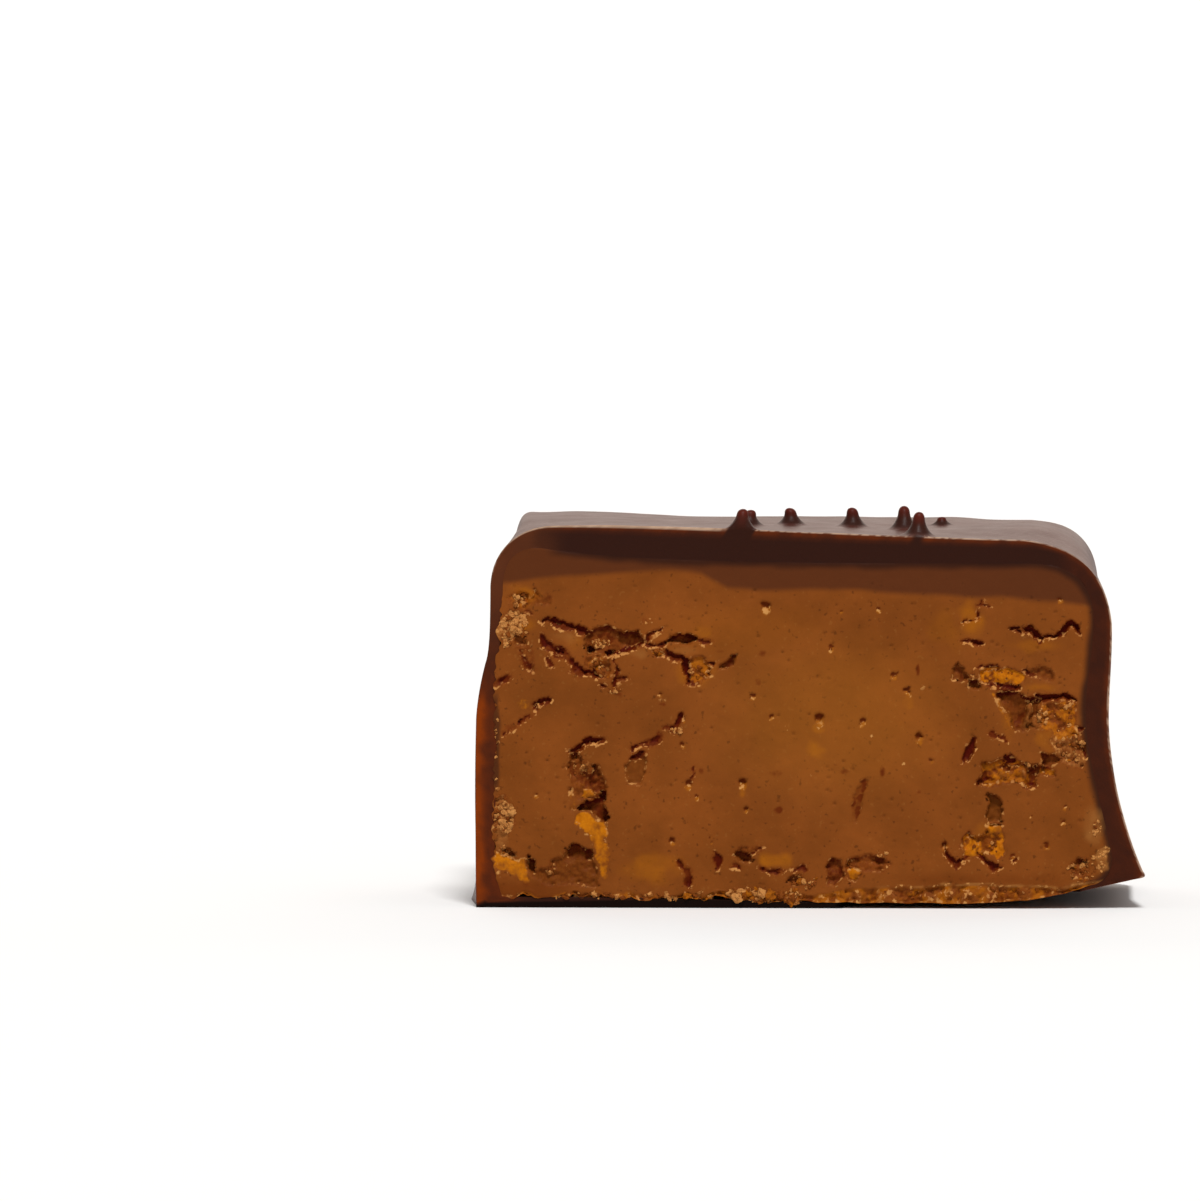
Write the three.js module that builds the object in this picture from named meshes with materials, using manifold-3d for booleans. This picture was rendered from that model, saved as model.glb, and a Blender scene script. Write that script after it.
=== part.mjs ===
// Half of an enrobed chocolate bonbon, cut upright with a knife so that its praline shows.
// Millimetres, +Z up. The cut faces -Y, the width runs along X, and the half stands on its own base.
import * as THREE from "three";
import { LoftGeometry } from "three/addons/geometries/LoftGeometry.js";
import { mergeVertices } from "three/addons/utils/BufferGeometryUtils.js";
import Module from "manifold-3d";

const wasm = await Module();
wasm.setup();

// Driving dimensions of the bonbon. Outlines are drawn about the middle of the cut, with z = 0 on the floor.
const halfWidth = 12.95; // middle to an upper wall
const height = 15.95; // floor to the high, left side of the top
const topFall = 0.55; // how much lower the top is at its right end
const depth = 13; // cut to back wall
const shoulder = 2.65; // reach of the rounded top edges
const leftBulge = 0.5; // how far the lower left wall stands out
const kinkHeight = 9.7; // where that bulge starts
const footReach = 1.4; // how far the foot of dried chocolate runs out at the right
const footCurl = 1.3; // how far that foot has lifted off the floor at the cut
const footSettles = 5; // distance behind the cut where it lies flat again
const backRound = 1.8; // rounding of the back edges
const backFoot = 0.7; // reach of the foot along the back and left
const backFootHeight = 2.2;

// Coat thickness on each side of the praline, and the slit that keeps the two solids apart.
const coatTop = 1.35;
const coatLeft = 0.6;
const coatRight = 0.95;
const coatBase = 0.45;
const coatBack = 0.85;
const slit = 0.1;

// The ring of drawn-up peaks that marks the top: six of nine are on this half.
const ringRadius = 3.7;
const ringX = 1.25;
const ringBehindCut = 1.4;
const peakStep = 40; // degrees
const peakStart = -4;
const peakHeights = [0.92, 1.08, 0.95, 0.92, 0.88, 1.0];
const peakFoot = 0.78; // base radius
const peakSunk = 0.35; // how deep a peak's root is buried in the coat
const peakSides = 14;
const stray = { x: 5.9, behindCut: 2.6, height: 0.4 }; // a small drip beside the ring

// Fissures in the cut praline, left to right: the line each follows (x, z), its width and its depth.
const fissures = [
  { line: [[-12.0, 12.8], [-10.4, 12.95]], wide: 0.7, deep: 0.4 },
  { line: [[-11.8, 11.2], [-11.0, 9.8]], wide: 0.4, deep: 0.4 },
  { line: [[-12.1, 7.4], [-11.4, 8.15], [-10.4, 8.7]], wide: 0.3, deep: 0.5 },
  { line: [[-10.9, 11.5], [-10.0, 10.7], [-8.4, 9.8]], wide: 0.5, deep: 0.9 },
  { line: [[-10.6, 12.05], [-8.4, 11.55]], wide: 0.4, deep: 1.2 },
  { line: [[-9.2, 11.5], [-7.7, 11.15], [-5.9, 11.2]], wide: 1.2, deep: 1.7 },
  { line: [[-8.1, 10.6], [-7.6, 9.8], [-8.0, 9.25]], wide: 0.5, deep: 0.8 },
  { line: [[-5.7, 10.95], [-4.7, 11.4], [-3.6, 11.2]], wide: 0.42, deep: 1.2 },
  { line: [[-5.5, 10.7], [-4.75, 10.25], [-4.5, 9.4]], wide: 0.36, deep: 0.9 },
  { line: [[-4.6, 9.5], [-4.0, 9.8], [-2.8, 10.4]], wide: 0.55, deep: 0.8 },
  { line: [[-9.6, 6.65], [-8.2, 7.1]], wide: 0.36, deep: 0.8 },
  { line: [[-9.4, 6.5], [-8.75, 5.1], [-8.3, 3.9]], wide: 1.25, deep: 1.4 },
  { line: [[-7.1, 6.35], [-6.0, 7.1], [-4.75, 7.9]], wide: 0.42, deep: 0.5 },
  { line: [[-6.85, 6.3], [-6.9, 5.2]], wide: 0.75, deep: 0.6 },
  { line: [[-11.2, 1.3], [-9.9, 1.75], [-8.4, 2.4]], wide: 1.2, deep: 0.8 },
  { line: [[-5.2, 2.1], [-4.6, 1.0]], wide: 0.36, deep: 0.6 },
  { line: [[-2.7, 2.35], [-1.6, 2.15]], wide: 0.5, deep: 0.8 },
  { line: [[-0.6, 1.15], [1.75, 1.55]], wide: 0.75, deep: 0.7 },
  { line: [[2.1, 1.75], [3.8, 1.95]], wide: 0.8, deep: 0.7 },
  { line: [[2.35, 3.9], [2.6, 5.25]], wide: 0.28, deep: 0.4 },
  { line: [[5.75, 2.65], [6.6, 1.75]], wide: 0.5, deep: 0.8 },
  { line: [[6.75, 1.75], [7.7, 2.5], [8.35, 1.75]], wide: 0.6, deep: 0.7 },
  { line: [[8.0, 4.8], [8.1, 3.6]], wide: 0.6, deep: 0.5 },
  { line: [[6.85, 6.05], [7.15, 7.1]], wide: 0.32, deep: 0.6 },
  { line: [[7.5, 5.55], [8.85, 5.95], [10.5, 5.85]], wide: 0.95, deep: 1.0 },
  { line: [[6.4, 10.3], [6.9, 9.4]], wide: 0.75, deep: 0.6 },
  { line: [[7.1, 9.5], [8.3, 9.6], [9.25, 9.45]], wide: 0.7, deep: 0.9 },
  { line: [[8.6, 9.0], [9.1, 7.2]], wide: 1.4, deep: 1.8 },
  { line: [[8.9, 8.95], [10.2, 8.85], [11.3, 8.9]], wide: 0.45, deep: 1.0 },
  { line: [[10.5, 8.4], [10.9, 7.0]], wide: 1.1, deep: 0.5 },
  { line: [[6.85, 12.1], [7.7, 12.9]], wide: 0.28, deep: 0.5 },
  { line: [[6.75, 11.1], [7.85, 11.05]], wide: 0.26, deep: 0.6 },
  { line: [[8.7, 11.7], [10.0, 11.3], [11.4, 11.85]], wide: 0.42, deep: 0.9 },
  { line: [[11.2, 1.5], [12.0, 2.0]], wide: 0.55, deep: 0.5 },
];
const fissureTaper = 0.6; // width left at the bottom of a fissure
const jag = 0.32; // unevenness of a fissure's sides, as a share of its width

// Crisp wafer flakes that stand in the wide fissures: middle (x, z), length, breadth and tilt in degrees.
const flakes = [
  { at: [-8.45, 2.7], long: 2.2, broad: 0.75, tilt: -68 },
  { at: [-11.9, 1.75], long: 1.2, broad: 0.9, tilt: 25 },
  { at: [-7.6, 10.75], long: 1.1, broad: 0.5, tilt: 12 },
  { at: [-4.1, 9.75], long: 0.8, broad: 0.45, tilt: 35 },
  { at: [-8.9, 5.6], long: 0.9, broad: 0.5, tilt: 60 },
  { at: [2.6, 1.75], long: 0.7, broad: 0.4, tilt: -40 },
  { at: [7.75, 2.85], long: 0.9, broad: 0.5, tilt: 30 },
  { at: [8.5, 9.75], long: 1.5, broad: 0.55, tilt: -5 },
  { at: [10.85, 7.75], long: 1.2, broad: 0.9, tilt: 75 },
  { at: [8.9, 5.75], long: 1.0, broad: 0.45, tilt: 15 },
];
const flakeThick = 0.35;

// Crumbs pulled out by the knife: they hang along the lower edge and beside the coat.
const crumbSize = 0.34;
const crumbSunk = 0.1; // how far a crumb's middle lies behind the cut
const lowerCrumbs = { from: -11.6, to: 11.2, count: 34 };
const sideCrumbs = [
  { from: [-12.05, 10.6], to: [-11.3, 12.0], count: 7 },
  { from: [-12.15, 2.6], to: [-12.1, 5.2], count: 6 },
  { from: [10.9, 6.1], to: [11.4, 7.1], count: 7 },
  { from: [12.2, 2.0], to: [12.3, 3.2], count: 4 },
];

// The base of the coat has broken away along the right of the cut.
const chip = { from: 1.7, to: 11.6, reach: 1.1, jag: 0.25, steps: 12 };

const outlineSteps = 6; // points on each curve of an outline
const eyeRadius = 2; // the round middle of an end face
const eyeProud = 0.01; // how far it bulges
const front = 1; // overlap of a cutter in front of the cut

// Random numbers that repeat from run to run.
function seededRandom(seed) {
  let state = seed;
  return () => {
    state = (state * 1664525 + 1013904223) % 4294967296;
    return state / 4294967296;
  };
}
const random = seededRandom(7);
const spread = (reach) => (2 * random() - 1) * reach;

// Outlines run up the left wall, over the top, down the right wall and back along the base.
// Every outline has the same eleven curves, so that sections can be blended and lofted.
function outlinePath(start, curves) {
  const path = new THREE.Path().moveTo(...start);
  for (const curve of curves) path.bezierCurveTo(...curve);
  const points = path.getPoints(outlineSteps);
  points.pop(); // the last point is the first again
  return points;
}

// The coat's outside. At the cut the right foot has curled up and the left wall has a kink above its bulge.
// Behind the cut both feet lie on the floor and the bulge fades out evenly.
function coatOutline({ curl, leftFoot, bulge, kink }) {
  const left = -halfWidth;
  const right = halfWidth;
  const low = left - bulge;
  const topRight = height - topFall;
  const tip = right + footReach;
  return outlinePath([low - leftFoot, 0], [
    [low - 0.4 * leftFoot, 1.1, low - 0.1, kinkHeight - 3, low + 0.05, kinkHeight - 0.9],
    [low + 0.15 * kink, kinkHeight - 0.2, left - 0.02, kinkHeight + 0.2, left, kinkHeight + 0.9],
    [left + 0.02, 11.5, left, 12.4, left + 0.05, height - shoulder],
    [left + 0.1, height - 1.05, left + 1.15, height - 0.1, left + shoulder, height - 0.02],
    [-5.5, height + 0.1, 3, topRight + 0.22, right - 3.65, topRight],
    [right - 1.55, topRight - 0.3, right - 0.35, topRight - 1.4, right, topRight - 3.3],
    [right + 0.1, 10.8, right - 0.1, 9, right - 0.05, 7.6],
    [right + 0.02, 5.6, right + 0.55, 2.7 + curl * 0.3, tip, 0.35 + curl],
    [tip + 0.1, 0.2 + curl, tip, 0.02 + curl, tip - 0.3, curl],
    [right - 0.7, curl * 0.55, right - 2.9, 0, 7.5, 0],
    [1, 0, -6, 0, low - leftFoot, 0],
  ]);
}

// The praline's outside at the cut, inside the coat by its thickness on each side.
function fillingOutline() {
  const left = -halfWidth + coatLeft;
  const right = halfWidth - coatRight;
  const top = height - coatTop - 0.15;
  const low = left - 0.3;
  return outlinePath([low + 0.2, coatBase + 0.05], [
    [low - 0.15, 1.2, low + 0.05, 6, low, kinkHeight - 1.1],
    [low - 0.12, kinkHeight - 0.3, left - 0.05, kinkHeight + 0.5, left, kinkHeight + 1.2],
    [left + 0.02, 11.7, left, 12.4, left + 0.05, height - shoulder],
    [left + 0.1, top, left + 0.75, top + 0.55, left + 1.95, top + 0.55],
    [-6, top - 0.05, 2, top - 0.05, right - 2.4, top - 0.05],
    [right - 0.5, top - 0.05, right + 0.2, top - 1.05, right + 0.2, top - 2.4],
    [right + 0.15, 10.5, right - 0.15, 9, right - 0.15, 7.8],
    [right - 0.1, 6, right + 0.6, 4, right + 1, 2.6],
    [right + 1.1, 2, right + 0.9, 0.95, right + 0.1, 0.8],
    [right - 1, 0.6, right - 3, coatBase, 7.5, coatBase],
    [1, coatBase, -6, coatBase, low + 0.2, coatBase + 0.05],
  ]);
}

const smooth = (value) => THREE.MathUtils.smoothstep(value, 0, 1);

// A body carried from the cut to the back. Its back edges round off, and rings close both ends.
function lofted({ outlineAt, start, end, round, foot }) {
  const middle = height / 2;
  const sections = [];
  const addSection = (along, inset, ring) => {
    const points = outlineAt(along).map(({ x, y: z }) => {
      const px = x * (1 - inset / halfWidth) * ring;
      const lowered = z * (1 - inset / height);
      const pz = middle + (lowered - middle) * ring;
      const low = Math.max(0, 1 - pz / backFootHeight);
      const py = along + foot * low * low * smooth(1 - (end - along) / 3);
      return new THREE.Vector3(px, py, pz);
    });
    sections.push(points);
  };
  const addEye = (along, proud) => {
    const points = outlineAt(along).map(({ x, y: z }) => {
      const turn = Math.atan2(z - middle, x);
      const [px, pz] = [eyeRadius * Math.cos(turn), middle + eyeRadius * Math.sin(turn)];
      return new THREE.Vector3(px, along + proud, pz);
    });
    sections.push(points);
  };
  addEye(start, -eyeProud);
  addSection(start, 0, 0.6);
  const straight = end - round;
  const stations = 6;
  for (let i = 0; i <= stations; i++) {
    addSection(start + ((straight - start) * i) / stations, 0, 1);
  }
  const turns = 5;
  for (let i = 1; i <= turns; i++) {
    const angle = ((Math.PI / 2) * i) / turns;
    addSection(straight + round * Math.sin(angle), round * (1 - Math.cos(angle)), 1);
  }
  for (const ring of [0.96, 0.9, 0.8, 0.6]) addSection(end, round, ring);
  addEye(end, eyeProud);
  return new LoftGeometry(sections, { capStart: true, capEnd: true });
}

// A closed three.js geometry as a solid that can be joined and cut.
function solidFrom(geometry) {
  const bare = new THREE.BufferGeometry();
  bare.setAttribute("position", geometry.getAttribute("position"));
  if (geometry.index) bare.setIndex(geometry.index);
  const merged = mergeVertices(bare, 1e-4);
  const corners = merged.index.array;
  const triangles = [];
  for (let i = 0; i < corners.length; i += 3) {
    const [a, b, c] = corners.slice(i, i + 3);
    if (a !== b && b !== c && c !== a) triangles.push(a, b, c); // a pole closes to a point
  }
  const mesh = new wasm.Mesh({
    numProp: 3,
    vertProperties: new Float32Array(merged.attributes.position.array),
    triVerts: new Uint32Array(triangles),
  });
  return new wasm.Manifold(mesh);
}

// A finished solid as a named mesh with its own material.
function meshFrom(name, solid, material) {
  const { vertProperties, triVerts } = solid.getMesh();
  const geometry = new THREE.BufferGeometry();
  geometry.setAttribute("position", new THREE.BufferAttribute(vertProperties, 3));
  geometry.setIndex(new THREE.BufferAttribute(triVerts, 1));
  geometry.computeVertexNormals();
  const mesh = new THREE.Mesh(geometry, new THREE.MeshStandardMaterial(material));
  mesh.name = name;
  return mesh;
}

// A block in front of the cut, which takes off whatever the knife took off.
function knifeBlock() {
  const block = new THREE.BoxGeometry(4 * halfWidth, 2 * front, 4 * height);
  return solidFrom(block.translate(0, -front, 0));
}

// Height of the coat's top at a place along its width, from the curve between its two shoulders.
function topAt(x, outline) {
  const ends = outline.findIndex((p, i) => i > 4 * outlineSteps && p.x >= x);
  const [a, b] = [outline[ends - 1], outline[ends]];
  return THREE.MathUtils.mapLinear(x, a.x, b.x, a.y, b.y);
}

// One peak, drawn up where the tool left the wet coat: a wide root, hollow flanks and a round tip.
function peak(tall, foot) {
  const profile = [
    [0, -peakSunk],
    [foot, -peakSunk],
    [foot, 0],
    [foot * 0.62, tall * 0.16],
    [foot * 0.4, tall * 0.42],
    [foot * 0.33, tall * 0.68],
    [foot * 0.24, tall * 0.9],
    [0, tall],
  ];
  const points = profile.map(([r, z]) => new THREE.Vector2(r, z));
  return new THREE.LatheGeometry(points, peakSides).rotateX(Math.PI / 2);
}

// The notch where the base of the coat broke away under the cut, with an uneven inner edge.
function chipBlock() {
  const shape = new THREE.Shape().moveTo(chip.from, -front).lineTo(chip.to, -front);
  for (let i = chip.steps; i >= 0; i--) {
    const share = i / chip.steps;
    const reach = chip.reach * Math.sin(Math.PI * (0.12 + 0.76 * share)) + spread(chip.jag);
    shape.lineTo(chip.from + (chip.to - chip.from) * share, Math.max(0.2, reach));
  }
  const block = new THREE.ExtrudeGeometry(shape, { depth: front + coatBase, bevelEnabled: false });
  return solidFrom(block.translate(0, 0, -front));
}

// Dark chocolate coat: a shell of uneven thickness, open at the cut, with the ring of peaks on top.
function coat() {
  const atCut = coatOutline({ curl: footCurl, leftFoot: 0, bulge: leftBulge, kink: 1 });
  const behind = coatOutline({ curl: 0, leftFoot: backFoot, bulge: leftBulge / 2, kink: 0 });
  const outlineAt = (along) => {
    const share = smooth(along / footSettles);
    return atCut.map((p, i) => p.clone().lerp(behind[i], share));
  };
  const outside = lofted({ outlineAt, start: 0, end: depth, round: backRound, foot: backFoot });
  let solid = solidFrom(outside);

  const addPeak = (x, behindCut, tall, foot) => {
    const geometry = peak(tall, foot)
      .rotateX(spread(0.12))
      .rotateY(spread(0.12))
      .translate(x, behindCut, topAt(x, atCut));
    solid = solid.add(solidFrom(geometry));
  };
  peakHeights.forEach((tall, i) => {
    const angle = THREE.MathUtils.degToRad(peakStart + peakStep * i);
    const x = ringX + ringRadius * Math.cos(angle);
    addPeak(x, ringBehindCut + ringRadius * Math.sin(angle), tall, peakFoot);
  });
  addPeak(stray.x, stray.behindCut, stray.height, peakFoot * 0.4);

  const grown = fillingOutline().map(({ x, y: z }) => {
    const px = x * (1 + slit / halfWidth);
    const pz = height / 2 + (z - height / 2) * (1 + (2 * slit) / height);
    return new THREE.Vector2(px, pz);
  });
  const hollow = lofted({
    outlineAt: () => grown,
    start: -front,
    end: depth - coatBack + slit,
    round: backRound - coatBack / 2,
    foot: 0,
  });
  solid = solid.subtract(solidFrom(hollow)).subtract(chipBlock()).subtract(knifeBlock());
  return meshFrom("coat", solid, { color: 0x3b1c13, roughness: 0.42, metalness: 0 });
}

// A fissure's cutter: an uneven lens along its line, driven into the praline and narrowing as it goes.
function fissure({ line, wide, deep }) {
  const curve = new THREE.SplineCurve(line.map(([x, z]) => new THREE.Vector2(x, z)));
  const steps = Math.max(4, Math.round(curve.getLength() / 0.4));
  const upper = [];
  const lower = [];
  for (let i = 0; i <= steps; i++) {
    const share = i / steps;
    const point = curve.getPoint(share);
    const along = curve.getTangent(share);
    const across = new THREE.Vector2(-along.y, along.x);
    const reach = (wide / 2) * Math.max(0.22, Math.sin(Math.PI * share) ** 0.6);
    upper.push(point.clone().addScaledVector(across, reach + spread(jag * reach)));
    lower.unshift(point.clone().addScaledVector(across, -reach + spread(jag * reach)));
  }
  const depthWithFront = deep + front;
  const geometry = new THREE.ExtrudeGeometry(new THREE.Shape([...upper, ...lower]), {
    depth: depthWithFront,
    bevelEnabled: false,
  });
  const middle = curve.getPoint(0.5);
  const position = geometry.attributes.position;
  for (let i = 0; i < position.count; i++) {
    if (position.getZ(i) > depthWithFront / 2) continue; // the end in front of the cut keeps its width
    position.setX(i, middle.x + (position.getX(i) - middle.x) * fissureTaper);
    position.setY(i, middle.y + (position.getY(i) - middle.y) * fissureTaper);
  }
  return solidFrom(geometry.rotateX(Math.PI / 2).translate(0, deep, 0));
}

// A wafer flake: a thin slab on edge in the praline, its face turned a little out of the cut.
function flake({ at, long, broad, tilt }) {
  const slab = new THREE.BoxGeometry(long, flakeThick, broad, 3, 1, 2);
  const position = slab.attributes.position;
  for (let i = 0; i < position.count; i++) {
    const bow = Math.cos((Math.PI * position.getX(i)) / long) * 0.12;
    position.setY(i, position.getY(i) - bow);
  }
  return solidFrom(
    slab
      .rotateX(spread(0.25))
      .rotateZ(spread(0.2))
      .rotateY(THREE.MathUtils.degToRad(-tilt))
      .translate(at[0], flakeThick * 0.9, at[1]),
  );
}

// A crumb: a small uneven lump.
function crumb(x, z) {
  const size = crumbSize * (0.7 + 0.6 * random());
  const lump = new THREE.IcosahedronGeometry(size, 0)
    .scale(1 + spread(0.25), 0.8, 1 + spread(0.25))
    .rotateY(spread(Math.PI))
    .rotateX(spread(0.5))
    .translate(x, crumbSunk, z);
  return solidFrom(lump);
}

// Praline: it fills the coat and carries the fissures, flakes and crumbs of the cut.
function filling() {
  const outline = fillingOutline();
  const block = lofted({
    outlineAt: () => outline,
    start: 0,
    end: depth - coatBack,
    round: backRound - coatBack / 2,
    foot: 0,
  });
  let solid = solidFrom(block);
  for (const each of fissures) solid = solid.subtract(fissure(each));
  for (const each of flakes) solid = solid.add(flake(each));
  for (let i = 0; i < lowerCrumbs.count; i++) {
    const share = (i + 0.5 + spread(0.35)) / lowerCrumbs.count;
    const x = THREE.MathUtils.lerp(lowerCrumbs.from, lowerCrumbs.to, share);
    solid = solid.add(crumb(x, coatBase + crumbSize + 0.25 * random()));
  }
  for (const { from, to, count } of sideCrumbs) {
    for (let i = 0; i < count; i++) {
      const x = THREE.MathUtils.lerp(from[0], to[0], random());
      solid = solid.add(crumb(x, THREE.MathUtils.lerp(from[1], to[1], random())));
    }
  }
  return meshFrom("filling", solid, { color: 0x8a4b1c, roughness: 0.6, metalness: 0 });
}

// The origin is under the middle of the half, on the floor.
const half = new THREE.Group();
half.add(coat(), filling());
const box = new THREE.Box3().setFromObject(half);
const centre = box.getCenter(new THREE.Vector3());
half.position.set(-centre.x, -centre.y, -box.min.z);

const bonbon = new THREE.Group();
bonbon.add(half);
export default bonbon;
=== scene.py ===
import math
from types import SimpleNamespace

import bpy
import numpy as np
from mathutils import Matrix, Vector


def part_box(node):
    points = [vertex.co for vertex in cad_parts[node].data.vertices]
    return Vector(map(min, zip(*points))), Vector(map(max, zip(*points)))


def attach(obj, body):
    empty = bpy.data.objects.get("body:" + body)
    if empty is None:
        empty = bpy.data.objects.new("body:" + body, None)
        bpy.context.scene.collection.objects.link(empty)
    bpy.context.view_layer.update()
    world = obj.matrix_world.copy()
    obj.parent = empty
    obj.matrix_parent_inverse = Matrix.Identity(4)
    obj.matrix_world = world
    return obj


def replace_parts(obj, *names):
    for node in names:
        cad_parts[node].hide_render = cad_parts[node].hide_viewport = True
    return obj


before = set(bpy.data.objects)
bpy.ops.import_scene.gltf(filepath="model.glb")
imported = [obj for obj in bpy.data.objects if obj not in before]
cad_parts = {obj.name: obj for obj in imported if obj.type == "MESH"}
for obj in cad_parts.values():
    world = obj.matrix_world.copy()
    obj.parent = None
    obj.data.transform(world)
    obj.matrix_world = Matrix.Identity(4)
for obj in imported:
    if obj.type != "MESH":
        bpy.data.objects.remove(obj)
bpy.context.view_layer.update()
print("frame loaded")

# Shared helpers. Shapes are drawn in mm: x from the middle of the cut, y behind the cut, z above the floor.
mm = 0.001
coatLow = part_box("coat")[0]
cutAt = coatLow.y / mm  # the cut's place along Y in the part's own frame
drawnMiddle = 0.24  # the part's middle, on the drawing's x


# An sRGB hex colour as linear values: each part p becomes ((p + 0.055) / 1.055) to the power 2.4.
def colour(hexText):
    parts = np.array([int(hexText[i:i + 2], 16) for i in (1, 3, 5)]) / 255
    linear = np.where(parts < 0.0405, parts / 12.92, ((parts + 0.055) / 1.055) ** 2.4)
    return (*linear.tolist(), 1.0)


# A smooth step from 0 to 1 between two limits: 3t squared minus 2t cubed.
def step(value, low, high):
    t = np.clip((value - low) / (high - low), 0, 1)
    return t * t * (3 - 2 * t)


# Smooth noise from -1 to 1: random heights at the corners of cubes of that size, blended by the cubic step.
def noise(points, size, seed):
    cells = 32  # the heights repeat after this many cubes
    table = np.random.default_rng(seed).uniform(-1, 1, (cells, cells, cells))
    scaled = points / size
    cell = np.floor(scaled).astype(int)
    blend = step(scaled - cell, 0, 1)
    total = np.zeros(points.shape[:-1])
    for corner in np.ndindex(2, 2, 2):
        index = (cell + corner) % cells
        weight = np.prod(np.where(corner, blend, 1 - blend), axis=-1)
        total += weight * table[index[..., 0], index[..., 1], index[..., 2]]
    return total


# The grain that a place lies in: the nearest of points scattered one to each square of a net of that size.
# Gives the grain's own random numbers.
def grains(x, z, size, seed):
    squares = 64  # the net repeats after this many squares
    table = np.random.default_rng(seed).uniform(0, 1, (squares, squares, 5))
    column, row = np.floor(x / size).astype(int), np.floor(z / size).astype(int)
    nearest = np.full(x.shape, np.inf)
    numbers = np.zeros((*x.shape, 3))
    for right, up in np.ndindex(3, 3):
        across, upward = column + right - 1, row + up - 1
        own = table[across % squares, upward % squares]
        distance = np.hypot(across + own[..., 0] - x / size, upward + own[..., 1] - z / size)
        closer = distance < nearest
        nearest = np.where(closer, distance, nearest)
        numbers = np.where(closer[..., None], own[..., 2:], numbers)
    return numbers


# Cubic Bezier curves end to end: at share t the four points weigh (1-t)^3, 3t(1-t)^2, 3t^2(1-t) and t^3.
def bezierPath(start, curves, shares):
    pieces = []
    first = np.array(start, float)
    for numbers, share in zip(curves, shares):
        second, third, last = np.array(numbers, float).reshape(3, 2)
        t = np.asarray(share)[:, None]
        near = first * (1 - t) ** 3 + second * 3 * t * (1 - t) ** 2
        pieces.append(near + third * 3 * t * t * (1 - t) + last * t ** 3)
        first = last
    return np.concatenate(pieces)


# Distance from each point to a line of straight parts, and the share of the line where it comes nearest.
def lineDistance(x, z, line):
    line = np.array(line, float)
    lengths = np.hypot(*np.diff(line, axis=0).T)
    reached = np.concatenate([[0], np.cumsum(lengths)]) / lengths.sum()
    nearest = np.full(x.shape, np.inf)
    along = np.zeros(x.shape)
    for i, length in enumerate(lengths):
        dx, dz = (line[i + 1] - line[i]) / length
        t = np.clip((x - line[i, 0]) * dx + (z - line[i, 1]) * dz, 0, length)
        distance = np.hypot(x - line[i, 0] - t * dx, z - line[i, 1] - t * dz)
        closer = distance < nearest
        nearest = np.where(closer, distance, nearest)
        along = np.where(closer, reached[i] + t / lengths.sum(), along)
    return nearest, along


# Distance to a closed outline, positive inside: a point is inside if a ray from it crosses the outline an
# odd number of times.
def insideDistance(x, z, outline):
    corners = np.array(outline, float)
    distance = lineDistance(x, z, np.vstack([corners, corners[:1]]))[0]
    inside = np.zeros(x.shape, bool)
    for (ax, az), (bx, bz) in zip(corners, np.roll(corners, -1, axis=0)):
        crosses = (az > z) != (bz > z)
        inside ^= crosses & (x < ax + (z - az) * (bx - ax) / (bz - az + 1e-9))
    return np.where(inside, distance, -distance)


# A mesh piece from drawn points in mm, moved into the part's frame, with one value per point for each
# attribute and a sharp edge between creased points.
def addPiece(name, points, faces, attributes, material, smooth=True, creased=()):
    mesh = bpy.data.meshes.new(name)
    placed = (points.reshape(-1, 3) + [-drawnMiddle, cutAt, 0]) * mm
    mesh.from_pydata(placed.tolist(), [], faces)
    for key, values in attributes.items():
        layer = mesh.attributes.new(key, "FLOAT", "POINT")
        layer.data.foreach_set("value", np.asarray(values, np.float32).ravel())
    mesh.polygons.foreach_set("use_smooth", np.full(len(mesh.polygons), smooth))
    ends = np.zeros(2 * len(mesh.edges), int)
    mesh.edges.foreach_get("vertices", ends)
    mesh.edges.foreach_set("use_edge_sharp", np.isin(ends, creased).reshape(-1, 2).all(axis=1))
    mesh.materials.append(material)
    mesh.update()
    piece = bpy.data.objects.new(name, mesh)
    bpy.context.scene.collection.objects.link(piece)
    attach(piece, "root")
    return piece


# Four-cornered faces of a grid of points, row by row. A wrapped grid joins its last column to the first.
def gridFaces(rows, columns, wrap):
    across = columns if wrap else columns - 1
    row, column = np.meshgrid(np.arange(rows - 1), np.arange(across), indexing="ij")
    after = (column + 1) % columns
    near, far = row * columns, (row + 1) * columns
    corners = np.stack([near + column, near + after, far + after, far + column], axis=-1)
    return corners.reshape(-1, 4).tolist()


# The scale of a pattern whose features are that many mm wide.
def scaleOf(size):
    return 1 / (size * mm)


# Adds a shader node, sets its properties, and sets or links its inputs.
def addNode(tree, kind, properties, inputs):
    node = tree.nodes.new(kind)
    for name, value in properties.items():
        setattr(node, name, value)
    for key, value in inputs.items():
        if isinstance(value, bpy.types.NodeSocket):
            tree.links.new(value, node.inputs[key])
        else:
            node.inputs[key].default_value = value
    return node


# A new material with an empty surface shader and the coordinates of its object.
def newMaterial(name):
    material = bpy.data.materials.new(name)
    material.use_nodes = True
    tree = material.node_tree
    shader = tree.nodes["Principled BSDF"]
    place = addNode(tree, "ShaderNodeTexCoord", {}, {}).outputs["Object"]
    return material, tree, shader, place


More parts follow.
